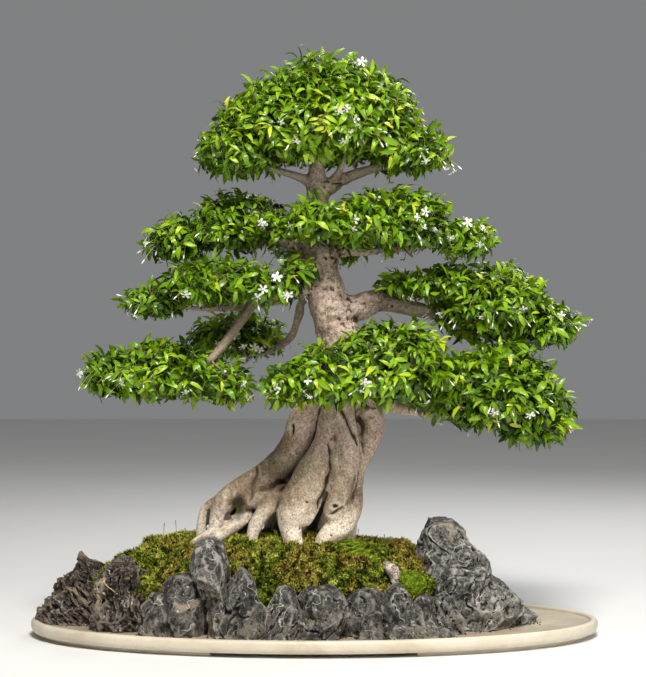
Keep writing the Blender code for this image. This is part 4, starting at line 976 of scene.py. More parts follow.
def rock_material(name, dark, light, tan):
    """Limestone: thin white veins and specks and tan patches, with painted highlights on its crests and
    painted shade in its hollows.
    """
    tree = Tree(name)
    hollow = tree.attribute("hollow")
    broad = tree.noise(24.0, 6.0, 0.65, 1.0)
    fine = tree.noise(300.0, 5.0, 0.80)
    base = tree.ramp(tree.math("ADD", tree.math("MULTIPLY", broad, 0.6), tree.math(
        "MULTIPLY", fine, 0.4)), (
        (0.34, tuple(0.38 * value for value in dark)), (0.46, dark), (0.58, light),
        (0.72, tuple(2.3 * value for value in light))))
    base = tree.greyed(base, tree.span(fine, 0.34, 0.66, 0.42, 1.70))
    patch = tree.span(tree.noise(19.0, 4.0, 0.65, 0.8), 0.62 - tan, 0.72 - tan)
    base = tree.mix(tree.math("MULTIPLY", patch, 0.65), base, (0.300, 0.240, 0.155))
    height = tree.node("ShaderNodeSeparateXYZ")
    tree.feed(height.inputs[0], tree.place)
    foot = tree.math("MULTIPLY", tree.span(height.outputs[2], 0.078, 0.046), tree.span(
        tree.noise(34.0, 5.0, 0.7, 0.6), 0.46, 0.60))
    base = tree.mix(tree.math("MULTIPLY", foot, 0.40), base, (0.250, 0.220, 0.170))
    # Painted highlight: the crests lightened
    painted_crest_highlight = tree.span(hollow, -0.30, -1.2)
    base = tree.mix(tree.math("MULTIPLY", painted_crest_highlight, 0.42), base, tuple(3.7 * value for value in light))
    # Painted shade: the hollows darkened nearly to black
    deep = tree.span(hollow, 0.12, 0.60)
    base = tree.mix(tree.math("MULTIPLY", deep, 0.94), base, (0.004, 0.003, 0.002))
    line = tree.math("ABSOLUTE", tree.math("SUBTRACT", tree.noise(15.0, 3.0, 0.50, 0.2), 0.5))
    veins = tree.math("MULTIPLY", tree.span(line, 0.001, 0.005, 1.0, 0.0), tree.span(
        tree.noise(24.0, 2.0), 0.42, 0.54))
    specks = tree.span(tree.noise(200.0, 3.0, 0.6), 0.64, 0.70)
    specks = tree.math("MULTIPLY", specks, tree.span(tree.noise(14.0), 0.40, 0.56))
    white = tree.math("MAXIMUM", veins, specks)
    base = tree.mix(tree.math("MULTIPLY", white, 0.56), base, (0.600, 0.570, 0.510))
    relief = tree.bump(fine, 0.70, 0.0016)
    relief = tree.bump(tree.noise(900.0, 3.0), 0.3, 0.0004, relief)
    return tree.finish(base, tree.span(fine, 0.3, 0.7, 0.62, 0.90), relief, specular=0.25)


def moss_colour(tree, tone, shift):
    """Patches of olive, yellow-green, bright green and rust, paler with tone, moved by shift."""
    broad = tree.noise(17.0, 3.0, 0.55, 0.8)
    small = tree.noise(80.0, 3.0, 0.6)
    value = tree.math("ADD", tree.math("MULTIPLY", broad, 0.72), tree.math("MULTIPLY", small, 0.28))
    value = tree.math("ADD", value, tree.math("MULTIPLY", shift, 0.05))
    low = tree.ramp(value, (
        (0.36, (0.024, 0.012, 0.002)), (0.44, (0.014, 0.013, 0.001)), (0.54, (0.007, 0.013, 0.001)),
        (0.64, (0.018, 0.017, 0.001))))
    high = tree.ramp(value, (
        (0.36, (0.440, 0.290, 0.070)), (0.41, (0.430, 0.360, 0.045)), (0.455, (0.900, 0.800, 0.130)),
        (0.50, (0.120, 0.180, 0.012)), (0.55, (0.310, 0.420, 0.020)), (0.62, (0.970, 0.920, 0.170))))
    return tree.mix(tone, low, high)


def moss_material():
    """Sprigs of moss, dark at the foot (partly their own colour, partly painted shade among the tufts)
    and pale at the tips.
    """
    tree = Tree("moss")
    parts = tree.node("ShaderNodeSeparateXYZ")
    tree.feed(parts.inputs[0], tree.attribute("leaf", "Vector"))
    # Darker towards each sprig's foot: partly its own colour, partly painted shade among the tufts
    tone = tree.math("MULTIPLY", parts.outputs[0], parts.outputs[2], clamp=True)
    colour = moss_colour(tree, tone, parts.outputs[1])
    tree.finish(colour, 0.8, specular=0.10)
    tree.let_light_through(colour, 0.10)
    return tree.material


def bright_moss_material():
    """The fresh yellow-green moss of the smooth cushion."""
    tree = Tree("bright_moss")
    colour = tree.ramp(tree.noise(150.0, 4.0, 0.7), (
        (0.35, (0.070, 0.120, 0.006)), (0.50, (0.200, 0.300, 0.014)), (0.65, (0.420, 0.520, 0.040))))
    return tree.finish(colour, 0.85, tree.bump(tree.noise(500.0), 0.6, 0.0015), specular=0.2)


def moss_ground_material():
    """The felt of moss and soil under the sprigs."""
    tree = Tree("moss_ground")
    grain = tree.noise(330.0, 5.0, 0.75)
    hollow = tree.attribute("hollow")
    # Felt paler on the crests and darker in the hollows of the ground, painted light and shade, over the
    # grain
    tone = tree.math("MULTIPLY", tree.span(grain, 0.38, 0.68, 0.06, 0.8), tree.span(
        hollow, 0.5, -0.6, 0.06, 1.0))
    colour = moss_colour(tree, tone, tree.span(grain, 0.3, 0.7, -1.0, 1.0))
    height = tree.node("ShaderNodeSeparateXYZ")
    tree.feed(height.inputs[0], tree.place)
    ragged = tree.math("ADD", height.outputs[2], tree.math("MULTIPLY", grain, 0.020))
    soil = tree.span(ragged, 0.072, 0.048)
    earth = tree.ramp(grain, (
        (0.35, (0.018, 0.011, 0.006)), (0.55, (0.060, 0.040, 0.022)), (0.70, (0.150, 0.110, 0.065))))
    colour = tree.mix(soil, colour, earth)
    return tree.finish(colour, 0.95, tree.bump(grain, 0.8, 0.0025), specular=0.15)


def marble_material():
    """Cream marble, honed, with faint warm clouds and a stained floor in the well."""
    tree = Tree("marble")
    cloud = tree.noise(7.0, 6.0, 0.6, 1.2)
    grain = tree.noise(260.0, 4.0, 0.7)
    wave = tree.noise(1.0, 5.0, 0.6, 2.2, tree.stretched((5.0, 11.0, 16.0)))
    colour = tree.ramp(cloud, (
        (0.30, (0.430, 0.365, 0.262)), (0.46, (0.550, 0.485, 0.375)), (0.64, (0.620, 0.560, 0.450))))
    vein = tree.span(tree.math("ABSOLUTE", tree.math("SUBTRACT", wave, 0.5)), 0.0, 0.020, 1.0, 0.0)
    colour = tree.mix(tree.math("MULTIPLY", vein, 0.18), colour, (0.480, 0.370, 0.240))
    stain = tree.span(tree.noise(14.0, 5.0, 0.65), 0.30, 0.66, 0.45, 0.95)
    floor = tree.math("MULTIPLY", tree.attribute("well"), stain)
    colour = tree.mix(tree.math("MULTIPLY", floor, 0.94), colour, (0.305, 0.240, 0.160))
    speck = tree.span(grain, 0.30, 0.42, 0.28, 0.0)
    colour = tree.mix(speck, colour, (0.380, 0.300, 0.200))
    relief = tree.bump(grain, 0.12, 0.0005)
    return tree.finish(colour, tree.span(grain, 0.3, 0.7, 0.34, 0.5), relief)


def floor_material():
    """A plain pale floor."""
    tree = Tree("floor")
    colour = tree.ramp(tree.noise(2.0, 2.0), ((0.0, (0.70, 0.70, 0.69)), (1.0, (0.76, 0.76, 0.75))))
    return tree.finish(colour, 0.7)


# Foliage

def lobe_share(points, lobe, grow=0.0):
    """How far out points are in a lobe, where 1 is on its surface."""
    offset = points - np.array(lobe[:3])
    height = np.where(offset[:, 2] > 0, lobe[5], lobe[6]) + grow
    return np.sqrt(
        (offset[:, 0] / (lobe[3] + grow)) ** 2 + (offset[:, 1] / (lobe[4] + grow)) ** 2
        + (offset[:, 2] / height) ** 2)


def spread_out(points, spacing, others=None):
    """Numbers of the points that are kept, in order, so that none are closer than the spacing."""
    grid, kept = {}, []
    for number, point in enumerate(points):
        cell = tuple(np.floor(point / spacing).astype(int))
        near = [
            other for i in (-1, 0, 1) for j in (-1, 0, 1) for k in (-1, 0, 1)
            for other in grid.get((cell[0] + i, cell[1] + j, cell[2] + k), ())]
        if all(np.sum((points[other] - point) ** 2) > spacing ** 2 for other in near):
            grid.setdefault(cell, []).append(number)
            kept.append(number)
    return np.array(kept, int)


def inset_lobe(lobe):
    """A lobe drawn in by the room that its outermost leaves need."""
    length, depth, up, down = lobe[3:]
    return lobe[:3] + (
        length - RIM_INSET, depth - RIM_INSET, up - TOP_INSET, max(down - UNDER_INSET, 0.006))


def pad_sites(pad, spacing, depths, under, draw):
    """Places for shoots in a pad: points, the ways out of it there, and how far out they are."""
    points, outs, shares = [], [], []
    lobes = [inset_lobe(lobe) for lobe in PADS[pad]]
    for lobe in lobes:
        length, depth, up, down = lobe[3:]
        area = 4.0 * math.pi * ((length * depth) ** 1.6 + (length * up) ** 1.6) ** (1 / 1.6) / 2
        count = int(9 * area / spacing ** 2)
        way = unit(draw.normal(size=(count, 3)))
        way = way[(way[:, 2] > -0.15) | (draw.random(count) < under)]
        share = draw.uniform(depths[0], depths[1], len(way))
        height = np.where(way[:, 2] > 0, up, down)
        size = np.stack([np.full(len(way), length), np.full(len(way), depth), height], axis=1)
        point = np.array(lobe[:3]) + way * size * share[:, None]
        lump = 1.0 + (0.12 * soft_noise(point, 22.0, 5) - 0.03) * share
        point = np.array(lobe[:3]) + way * size * (share * lump)[:, None]
        inside = np.min([lobe_share(point, other) for other in lobes], axis=0)
        keep = inside > 0.86 * share
        points.append(point[keep])
        outs.append(unit(way / size)[keep])
        shares.append(share[keep])
    points, outs, shares = np.concatenate(points), np.concatenate(outs), np.concatenate(shares)
    order = draw.permutation(len(points))
    kept = order[spread_out(points[order], spacing)]
    return points[kept], outs[kept], shares[kept]


def shoot_leaves(heap, tips, outs, shares, spots, outline, shade, draw):
    """Leafy shoots at those places: pairs of leaves along a thin twig."""
    count = len(tips)
    level = unit(outs * np.array([1.0, 1.0, 0.0]) + 1e-6)
    axis = unit(
        0.60 * outs + 0.35 * level + np.array([0.0, 0.0, 0.25]) + 0.50 * draw.normal(size=(count, 3)))
    inward = np.minimum(np.sum(axis * outs, axis=1, keepdims=True) - 0.35, 0.0)
    axis = unit(axis - inward * outs)
    upward = unit(0.8 * outs + np.array([0.0, 0.0, 0.9]) + 0.3 * draw.normal(size=(count, 3)))
    side = unit(np.cross(axis, upward))
    upward = np.cross(side, axis)
    spread = draw.uniform(0.85, 1.15, count)[:, None]
    foot = tips - axis * spots[-1] * spread
    bow = np.stack([foot - outs * 0.012, foot, tips], axis=1)
    points, triangles = tubes(bow, np.tile(np.array([0.0009, 0.0008, 0.0004]), (count, 1)), 3)
    heap.add(points, triangles, 1, plain_values(points, 0.5))
    # Shoots near the pad's surface get paler leaves, partly their new growth and partly painted light;
    # leaves deep inside get painted shade
    outer_growth_and_light = np.clip((shares - 0.55) / 0.45, 0.0, 1.0)
    mood = draw.normal(0.0, 0.11, count)
    for number, spot in enumerate(spots):
        last = number == len(spots) - 1
        turned = (number % 2) * draw.uniform(0.2, 1.3, count)[:, None]
        for hand in (-1.0, 1.0):
            turn = draw.normal(math.radians(40.0 if last else 64.0), 0.22, count)[:, None]
            roll = turned + draw.normal(0.0, 0.35, count)[:, None]
            across = hand * (np.cos(roll) * side + np.sin(roll) * upward)
            along = unit(np.cos(turn) * axis + np.sin(turn) * across + np.array([0.0, 0.0, 0.06]))
            face = 0.7 * upward + 0.5 * axis + 0.30 * draw.normal(size=(count, 3))
            face = unit(face - along * np.sum(face * along, axis=1, keepdims=True))
            grown = 0.70 + 0.30 * math.sin(math.pi * (number + 1.0) / (len(spots) + 1.0))
            length = draw.uniform(*LEAF_LENGTHS, count) * grown
            width = length * draw.uniform(*LEAF_SLIMNESS, count)
            tone = 0.10 + shade + 0.38 * outer_growth_and_light + 0.12 * last + mood + draw.normal(0.0, 0.12, count)
            tone = np.where(draw.random(count) < 0.006, 1.0, np.clip(tone, 0.02, 0.84))
            base = foot + axis * spot * spread
            tip = base + along * length[:, None]
            keep = draw.random(count) > 0.07
            keep &= (np.abs(tip[:, 0]) < TIP_LIMIT_X) & (np.abs(tip[:, 1]) < TIP_LIMIT_Y)
            bend = draw.uniform(*LEAF_BENDS, count)
            fold = draw.uniform(0.15, 0.55, count)
            twist = draw.normal(0.0, LEAF_TWIST, count)
            points, triangles, values = blades(
                base[keep], along[keep], face[keep], length[keep], width[keep], bend[keep],
                fold[keep], twist[keep], tone[keep], outline)
            heap.add(points, triangles, 0, values)


def nearest_on(points, anchors):
    """For each point, the number of the nearest anchor."""
    return np.array([np.argmin(np.sum((anchors - point) ** 2, axis=1)) for point in points])


def branch_points(pad):
    """Points along the branches that carry a pad, in its outer two thirds."""
    found = []
    for name in CARRIERS.get(pad, (pad,)):
        limb = resampled(np.array(BRANCHES[name]), 0.006)[:, :3]
        inside = np.min([lobe_share(limb, lobe, 0.02) for lobe in PADS[pad]], axis=0) < 1.0
        found.append(limb[inside])
    return np.concatenate(found)


def pad_twigs(heap, pad, tips, outs, draw):
    """Side branches from the pad's limbs, and twigs from those to some of its shoots."""
    limbs = branch_points(pad)
    hubs = tips[spread_out(tips, 0.042)]
    roots = limbs[nearest_on(hubs, limbs)]
    hubs = roots + (hubs - roots) * draw.uniform(0.50, 0.72, len(hubs))[:, None]
    hubs[:, 2] -= 0.004
    steps = np.linspace(0.0, 1.0, 5)
    sway = draw.normal(0.0, 0.006, (len(hubs), 3))
    paths = roots[:, None] + (hubs - roots)[:, None] * steps[None, :, None]
    paths = paths + sway[:, None] * np.sin(steps * math.pi)[None, :, None]
    points, triangles = tubes(paths, np.tile(np.linspace(0.0028, 0.0014, 5), (len(hubs), 1)), 4)
    heap.add(points, triangles, 1, plain_values(points, 0.4))
    some = np.arange(0, len(tips), 3)
    goal = tips[some] - outs[some] * 0.018
    feet = hubs[nearest_on(goal, hubs)]
    middle = 0.5 * (feet + goal) + draw.normal(0.0, 0.004, goal.shape)
    paths = np.stack([feet, middle, goal], axis=1)
    points, triangles = tubes(paths, np.tile(np.array([0.0013, 0.0011, 0.0008]), (len(some), 1)), 3)
    heap.add(points, triangles, 1, plain_values(points, 0.4))


def flowers(heap, feet, ways, open_share, draw):
    """Flowers and long buds on thin stalks."""
    count = len(feet)
    length = draw.uniform(0.012, 0.026, count)
    steps = np.linspace(0.0, 1.0, 4)
    fall = -0.30 * length[:, None] * steps[None] ** 2
    paths = feet[:, None] + ways[:, None] * (length[:, None] * steps[None])[..., None]
    paths[..., 2] += fall
    points, triangles = tubes(paths, np.tile(np.array(STALK_RADII), (count, 1)), 3)
    heap.add(points, triangles, 3, plain_values(points, 0.5))
    ends = paths[:, -1]
    heading = unit(paths[:, -1] - paths[:, -2])
    is_open = draw.random(count) < open_share
    steps = np.linspace(0.0, 1.0, len(BUD_RADII))
    closed_ends, closed_ways = ends[~is_open], heading[~is_open]
    size = draw.uniform(0.7, 1.1, len(closed_ends))
    paths = closed_ends[:, None] + closed_ways[:, None] * (
        BUD_LENGTH * size[:, None] * steps[None])[..., None]
    points, triangles = tubes(paths, np.array(BUD_RADII)[None] * size[:, None], 5)
    heap.add(points, triangles, 2, plain_values(points, 0.8))
    heart, way = ends[is_open], heading[is_open]
    first = unit(np.cross(way, draw.normal(size=(len(heart), 3))))
    second = np.cross(way, first)
    size = draw.uniform(0.85, 1.12, len(heart))
    for petal in range(5):
        angle = petal * math.tau / 5 + draw.normal(0.0, 0.08, len(heart))[:, None]
        out = np.cos(angle) * first + np.sin(angle) * second
        along = unit(out + 0.12 * way)
        turned = unit(way + 0.25 * np.cross(way, out))
        points, triangles, values = blades(
            heart + way * 0.0012, along, turned, PETAL_LENGTH * size, PETAL_WIDTH * size,
            np.full(len(heart), 0.30), np.full(len(heart), 0.12), np.zeros(len(heart)),
            np.full(len(heart), 0.8), PETAL_OUTLINE)
        heap.add(points, triangles, 2, values)
    steps = np.linspace(0.0, 1.0, 3)
    paths = heart[:, None] + way[:, None] * (0.0035 * steps)[None, :, None]
    points, triangles = tubes(paths, np.tile(np.array([0.0012, 0.0011, 0.0005]), (len(heart), 1)), 5)
    values = plain_values(points, 0.8)
    values[:, 0] = 0.1
    heap.add(points, triangles, 2, values)


def pad_flowers(heap, tips, outs, area, draw):
    """Clusters of flowers: most hang at the rim, some stand on the pad."""
    rim = np.clip(1.0 - np.abs(outs[:, 2] + 0.10) * 1.7, 0.06, 1.0)
    wanted = min(int(area * CLUSTERS_PER_AREA), len(tips))
    hubs = draw.choice(len(tips), size=wanted, replace=False, p=rim / rim.sum())
    chosen = np.repeat(hubs, draw.integers(1, 4, wanted))
    level = unit(outs[chosen] * np.array([1.0, 1.0, 0.3]))
    ways = unit(0.8 * level + 0.45 * draw.normal(size=(len(chosen), 3)) + np.array([0, 0, -0.3]))
    feet = tips[chosen] - outs[chosen] * 0.003
    flowers(heap, feet, ways, OPEN_SHARE, draw)


def make_foliage(pad, number, materials):
    """One pad: inner and outer leafy shoots, twigs and flowers."""
    draw = np.random.default_rng(100 + number)
    heap = Heap()
    tips, outs, shares = pad_sites(pad, OUTER_SPACING, OUTER_SHARES, 0.25, draw)
    shade = PAD_PAINTED_SHADES.get(pad, 0.0)
    shoot_leaves(heap, tips, outs, shares, SHOOT_NODES, LEAF_OUTLINE, shade, draw)
    pad_twigs(heap, pad, tips, outs, draw)
    inner, inner_outs, inner_shares = pad_sites(pad, INNER_SPACING, INNER_SHARES, 0.4, draw)
    shoot_leaves(
        heap, inner, inner_outs, inner_shares, INNER_NODES, INNER_OUTLINE, shade, draw)
    pad_flowers(heap, tips, outs, len(tips) * OUTER_SPACING ** 2, draw)
    piece = heap.build("leaves_" + pad, materials)
    return dress(piece, None, ("foliage_" + pad,))


# Wood

def resampled(limb, step):
    """A limb's points at even steps on a smooth curve through them."""
    ends = np.vstack([2 * limb[0] - limb[1], limb, 2 * limb[-1] - limb[-2]])
    found = []
    for a, b, c, d in zip(ends, ends[1:], ends[2:], ends[3:]):
        count = max(2, int(np.linalg.norm((c - b)[:3]) / step))
        t = np.linspace(0.0, 1.0, count, endpoint=False)[:, None]
        found.append(0.5 * (
            2 * b + (c - a) * t + (2 * a - 5 * b + 4 * c - d) * t ** 2
            + (3 * b - a - 3 * c + d) * t ** 3))
    found.append(limb[-1:])
    return np.concatenate(found)


def limb_field(field, limb, low, step, blend):
    """Add a limb to a field that sums exp(-distance / blend) at grid points."""
    line = resampled(np.array(limb), 0.004)
    reach = line[:, 3].max() + 5 * blend
    first = np.floor((line[:, :3].min(axis=0) - reach - low) / step).astype(int)
    last = np.ceil((line[:, :3].max(axis=0) + reach - low) / step).astype(int) + 1
    first = np.maximum(first, 0)
    last = np.minimum(last, field.shape)
    near = np.full(last - first, 1.0, np.float32)
    for start, end in zip(line, line[1:]):
        room = max(start[3], end[3]) + 5 * blend
        a = np.floor((np.minimum(start, end)[:3] - room - low) / step).astype(int)
        b = np.ceil((np.maximum(start, end)[:3] + room - low) / step).astype(int) + 1
        a = np.maximum(a, first)
        b = np.minimum(b, last)
        if np.any(a >= b):
            continue
        x, y, z = np.ogrid[a[0]:b[0], a[1]:b[1], a[2]:b[2]]
        x, y, z = (part * step + low[k] - start[k] for k, part in enumerate((x, y, z)))
        way = end[:3] - start[:3]
        t = np.clip((x * way[0] + y * way[1] + z * way[2]) / max(way @ way, 1e-12), 0.0, 1.0)
        far = np.sqrt((x - t * way[0]) ** 2 + (y - t * way[1]) ** 2 + (z - t * way[2]) ** 2)
        far = far - (start[3] + t * (end[3] - start[3]))
        here = tuple(slice(p, q) for p, q in zip(a - first, b - first))
        near[here] = np.minimum(near[here], far)
    here = tuple(slice(p, q) for p, q in zip(first, last))
    field[here] += np.exp(-near / blend)


def surface_of(field, level, low, step):
    """The surface where a grid's field crosses a level: points and quads, by surface nets."""
    inside = field > level
    size = np.array(field.shape) - 1
    count = np.zeros(size, np.int8)
    for corner in np.ndindex(2, 2, 2):
        count += inside[tuple(slice(c, c + n) for c, n in zip(corner, size))]
    cells = np.argwhere((count > 0) & (count < 8))
    number = np.full(size, -1, np.int64)
    number[tuple(cells.T)] = np.arange(len(cells))
    total, crossings = np.zeros((len(cells), 3)), np.zeros(len(cells))
    for axis in range(3):
        for corner in np.ndindex(2, 2):
            offset = np.insert(np.array(corner), axis, 0)
            start = cells + offset
            end = start + np.eye(3, dtype=int)[axis]
            a, b = field[tuple(start.T)], field[tuple(end.T)]
            crossed = (a > level) != (b > level)
            share = np.where(crossed, (level - a) / np.where(crossed, b - a, 1.0), 0.0)
            spot = start + share[:, None] * np.eye(3)[axis]
            total += np.where(crossed[:, None], spot, 0.0)
            crossings += crossed
    points = total / crossings[:, None] * step + low
    quads = []
    for axis in range(3):
        one, two = [k for k in range(3) if k != axis]
        ahead = np.eye(3, dtype=int)[axis]
        body = tuple(slice(1, n) if k != axis else slice(0, n) for k, n in enumerate(size))
        after = tuple(
            slice(1, n) if k != axis else slice(1, n + 1) for k, n in enumerate(size))
        changed = np.argwhere(inside[body] != inside[after])
        changed = changed + (1 - ahead)
        a = number[tuple(changed.T)]
        b = number[tuple((changed - np.eye(3, dtype=int)[one]).T)]
        c = number[tuple((changed - np.eye(3, dtype=int)[one] - np.eye(3, dtype=int)[two]).T)]
        d = number[tuple((changed - np.eye(3, dtype=int)[two]).T)]
        outward = inside[tuple(changed.T)] == (axis != 1)
        quad = np.stack([a, b, c, d], axis=1)
        quads.append(np.where(outward[:, None], quad, quad[:, ::-1]))
    return points, np.concatenate(quads)


def scarred(spots, normals):
    """How far scars and holes move the wood's surface at each vertex."""
    draw = np.random.default_rng(12)
    moved = np.zeros(len(spots))
    high = (spots[:, 2] > 0.42) & (spots[:, 2] < 0.72) & (np.abs(spots[:, 0]) < 0.15)
    for _ in range(SCAR_COUNT):
        pool = np.flatnonzero(high if draw.random() < 0.8 else spots[:, 2] < 0.42)
        centre = spots[draw.choice(pool)]
        radius = draw.uniform(*SCAR_RADII)
        far = np.linalg.norm((spots - centre) * draw.uniform(0.8, 1.25, 3), axis=1) / radius
        rim = np.exp(-((far - 0.85) / 0.32) ** 2)
        strength = 1.0 if centre[2] > 0.42 else 0.35
        moved += radius * strength * (0.19 * rim - 0.20 * np.exp(-(far / 0.42) ** 2))
    for x, z, wide, tall, depth in HOLES:
        far = ((spots[:, 0] - x) / wide) ** 2 + ((spots[:, 2] - z) / tall) ** 2
        facing = np.clip(-normals[:, 1] * 2.0, 0.0, 1.0) * (spots[:, 1] < 0.0)
        moved -= depth * np.exp(-far * far) * facing
    return moved


def creased(spots, normals):
    """How near each vertex lies to a crease of the roots' front and to its soft valley (0 to 1)."""
    flat = spots[:, [0, 2]] + 0.0022 * np.stack(
        [soft_noise(spots, 75.0, 31), soft_noise(spots, 75.0, 32)], axis=1)
    wide = CREASE_HALF_WIDTH * np.clip(1.1 + 0.9 * soft_noise(spots, 95.0, 33), 0.45, 1.8)
    line, valley = np.zeros(len(spots)), np.zeros(len(spots))
    for dark, points in CREASES:
        points = np.array(points)
        far = np.full(len(spots), 1.0)
        for start, end in zip(points, points[1:]):
            way = end - start
            share = np.clip((flat - start) @ way / (way @ way), 0.0, 1.0)
            far = np.minimum(far, np.linalg.norm(flat - start - share[:, None] * way, axis=1))
        ends = np.linalg.norm(flat[:, None] - points[[0, -1]], axis=2).min(axis=1)
        fade = np.clip(ends / CREASE_FADE, 0.15, 1.0)
        line = np.maximum(line, dark * fade * np.exp(-(far / wide) ** 2))
        valley = np.maximum(valley, fade * np.exp(-(far / VALLEY_HALF_WIDTH) ** 2))
    facing = np.clip(-normals[:, 1] * 3.0, 0.0, 1.0) * (spots[:, 1] < 0.0)
    return line * facing, valley * facing


def make_wood(material):
    """Trunk, roots and branches, grown together as one skin, with the relief of bark."""
    low = np.array(WOOD_LOW)
    shape = tuple(np.ceil((np.array(WOOD_HIGH) - low) / WOOD_STEP).astype(int))
    field = np.zeros(shape, np.float32)
    for limb in [TRUNK] + list(ROOTS.values()) + list(BRANCHES.values()):
        limb_field(field, limb, low, WOOD_STEP, WOOD_BLEND)
    field = -np.log(field + 1e-9)
    spots, quads = surface_of(-field, 0.0, low, WOOD_STEP)
    triangles = np.concatenate([quads[:, [0, 1, 2]], quads[:, [0, 2, 3]]])
    wood = mesh_object("wood", spots, triangles, [material])
    edges = read_edges(wood)
    spots = smoothed(spots, edges, 3)
    write_points(wood, spots)
    normals = read_normals(wood)
    thick = np.clip((0.42 - spots[:, 2]) / 0.05, 0.0, 1.0)
    stem = np.clip(1.0 - np.abs(spots[:, 0] - 0.05) / 0.16, 0.0, 1.0) * (spots[:, 2] < 0.72)
    weight = np.maximum(thick, np.clip(stem * 1.5, 0.25, 1.0))
    lump = 0.0022 * layered_noise(spots, 26.0, 3, 3)
    flute = 0.0005 * layered_noise(spots, (75.0, 75.0, 18.0), 11, 3, ridged=True)
    gnarl = 0.0026 * layered_noise(spots, 48.0, 15, 4) * stem * (spots[:, 2] > 0.42)
    near, _ = cell_noise(spots, (110.0, 110.0, 80.0), 21)
    pocks = -0.0012 * np.clip(1.0 - near / 0.22, 0.0, 1.0) * (soft_noise(spots, 40.0, 9) > 0.1)
    knots = 0.0013 * layered_noise(spots, 125.0, 25, 3) * stem * (spots[:, 2] > 0.42)
    moved = (lump + flute + gnarl + knots - 0.0012) * weight + pocks * thick
    spots = spots + normals * moved[:, None]
    write_points(wood, spots)
    crease, valley = creased(spots, normals)
    moved = scarred(spots, normals) - CREASE_DEPTH * crease - VALLEY_DEPTH * valley
    spots = spots + read_normals(wood) * moved[:, None]
    write_points(wood, spots)
    store_hollows(wood, 7)
    # Where the wood is painted dark felt, behind the toes and in the cavity: partly moss, partly painted
    # shade
    back = np.clip((spots[:, 1] - MOSS_AND_SHADE_DEPTH) / 0.010, 0.0, 1.0) * (spots[:, 1] < 0.035)
    low = np.clip((MOSS_AND_SHADE_TOP - spots[:, 2]) / 0.010, 0.0, 1.0)
    inner = (spots[:, 0] < 0.035) & (spots[:, 0] > -0.146)
    x, z, wide, tall = CAVITY
    round_it = ((spots[:, 0] - x) / wide) ** 2 + ((spots[:, 2] - z) / tall) ** 2
    round_it = np.clip(1.6 - round_it - 0.5 * soft_noise(spots, 150.0, 19), 0.0, 1.0)
    round_it = round_it * (spots[:, 1] < 0.0)
    set_values(wood, "mossy", np.maximum(back * low * inner, round_it))
    set_values(wood, "crease", crease)
    set_values(wood, "valley", valley)
    thinned(wood, WOOD_SHARE)
    return dress(wood, material, ("tree_wood",))


# Rocks

def rock_relief(spots, seed, netted):
    """How far a rock's surface moves: grain and slanted cracks, and ribs and pits where netted."""
    bend = np.stack([soft_noise(spots, 45.0, seed + k) for k in (61, 62, 63)], axis=1) * 0.004
    lean = 0.55 * math.sin(seed * 2.4)
    turned = spots + bend + np.stack(
        [spots[:, 2] * lean, spots[:, 2] * 0.25, 0.2 * spots[:, 0]], axis=1)
    relief = 0.0007 * layered_noise(spots, (170.0, 170.0, 140.0), seed + 7, 3, ridged=True)
    relief += 0.0009 * layered_noise(spots, 75.0, seed + 3, 3)
    split = np.abs(soft_noise(turned, (42.0, 42.0, 14.0), seed + 5))
    relief -= 0.0046 * np.clip(1.0 - split / 0.050, 0.0, 1.0) * (soft_noise(spots, 22.0, seed) > -0.1)
    ribs = layered_noise(turned, (85.0, 85.0, 24.0), seed + 9, 3, ridged=True)
    relief += (0.0056 if netted else 0.0011) * (ribs - 0.9)
    if netted:
        pits, _ = cell_noise(spots + bend, 60.0, seed + 13)
        relief -= 0.0044 * np.clip(1.0 - pits / 0.34, 0.0, 1.0)
    return relief


def make_rock(node, material, number):
    """One rock: the CAD node remeshed, lumped, broken into flat faces, cracked and grained."""
    netted = node in NETTED_ROCKS
    rock = remeshed(node_copy("stone_" + node[5:], node), ROCK_VOXEL)
    spots = smoothed(read_points(rock), read_edges(rock), 1)
    write_points(rock, spots)
    side = read_normals(rock) * np.array([1.0, 1.0, 0.5])
    rough = 0.0085 if netted else 0.0072
    lump = ROCK_SWELL + rough * layered_noise(spots, (30.0, 30.0, 20.0), number * 3 + 1, 3)
    write_points(rock, spots + side * lump[:, None])
    faceted(rock, NETTED_FACE if netted else ROCK_FACE)
    spots = read_points(rock)
    spots = spots + read_normals(rock) * rock_relief(spots, number, netted)[:, None]
    middle = 0.5 * (spots[:, 0].min() + spots[:, 0].max())
    spots[:, 0] = middle + (spots[:, 0] - middle) * ROCK_WIDTHS.get(node, 1.0)
    spots[:, 2] = WELL_FLOOR + (spots[:, 2] - WELL_FLOOR) * ROCK_HEIGHTS.get(node, ROCK_HEIGHT)
    if node in ROCK_PEAKS:
        place, half_width, lift = ROCK_PEAKS[node]
        share = (spots[:, 2] - WELL_FLOOR) / (spots[:, 2].max() - WELL_FLOOR)
        spots[:, 2] += lift * share ** 3 * np.exp(-((spots[:, 0] - place) / half_width) ** 2)
    spots[:, 2] = np.maximum(spots[:, 2], WELL_FLOOR + 0.0004)
    write_points(rock, spots)
    store_hollows(rock, 9)
    thinned(rock, BACK_SHARE if node.startswith("rock_back") else ROCK_SHARE)
    rock.data.set_sharp_from_angle(angle=math.radians(ROCK_SHARP_ANGLE))
    return dress(rock, material, (node,))


def make_pale_stone(material):
    """The knobbly pale stone that stands in the moss."""
    stone = remeshed(node_copy("pale_stone", "stone_pale"), 0.0010)
    spots = smoothed(read_points(stone), read_edges(stone), 6)
    write_points(stone, spots)
    normals = read_normals(stone)
    knobs = 0.0020 * soft_noise(spots, 70.0, 4) + 0.0010 * layered_noise(spots, 170.0, 6, 3)
    low = np.clip((spots[:, 2] - 0.084) / 0.008, 0.0, 1.0)
    write_points(stone, spots + normals * ((knobs - 0.0004) * low)[:, None])
    store_hollows(stone, 8)
    return dress(stone, material, ("stone_pale",))


# Moss

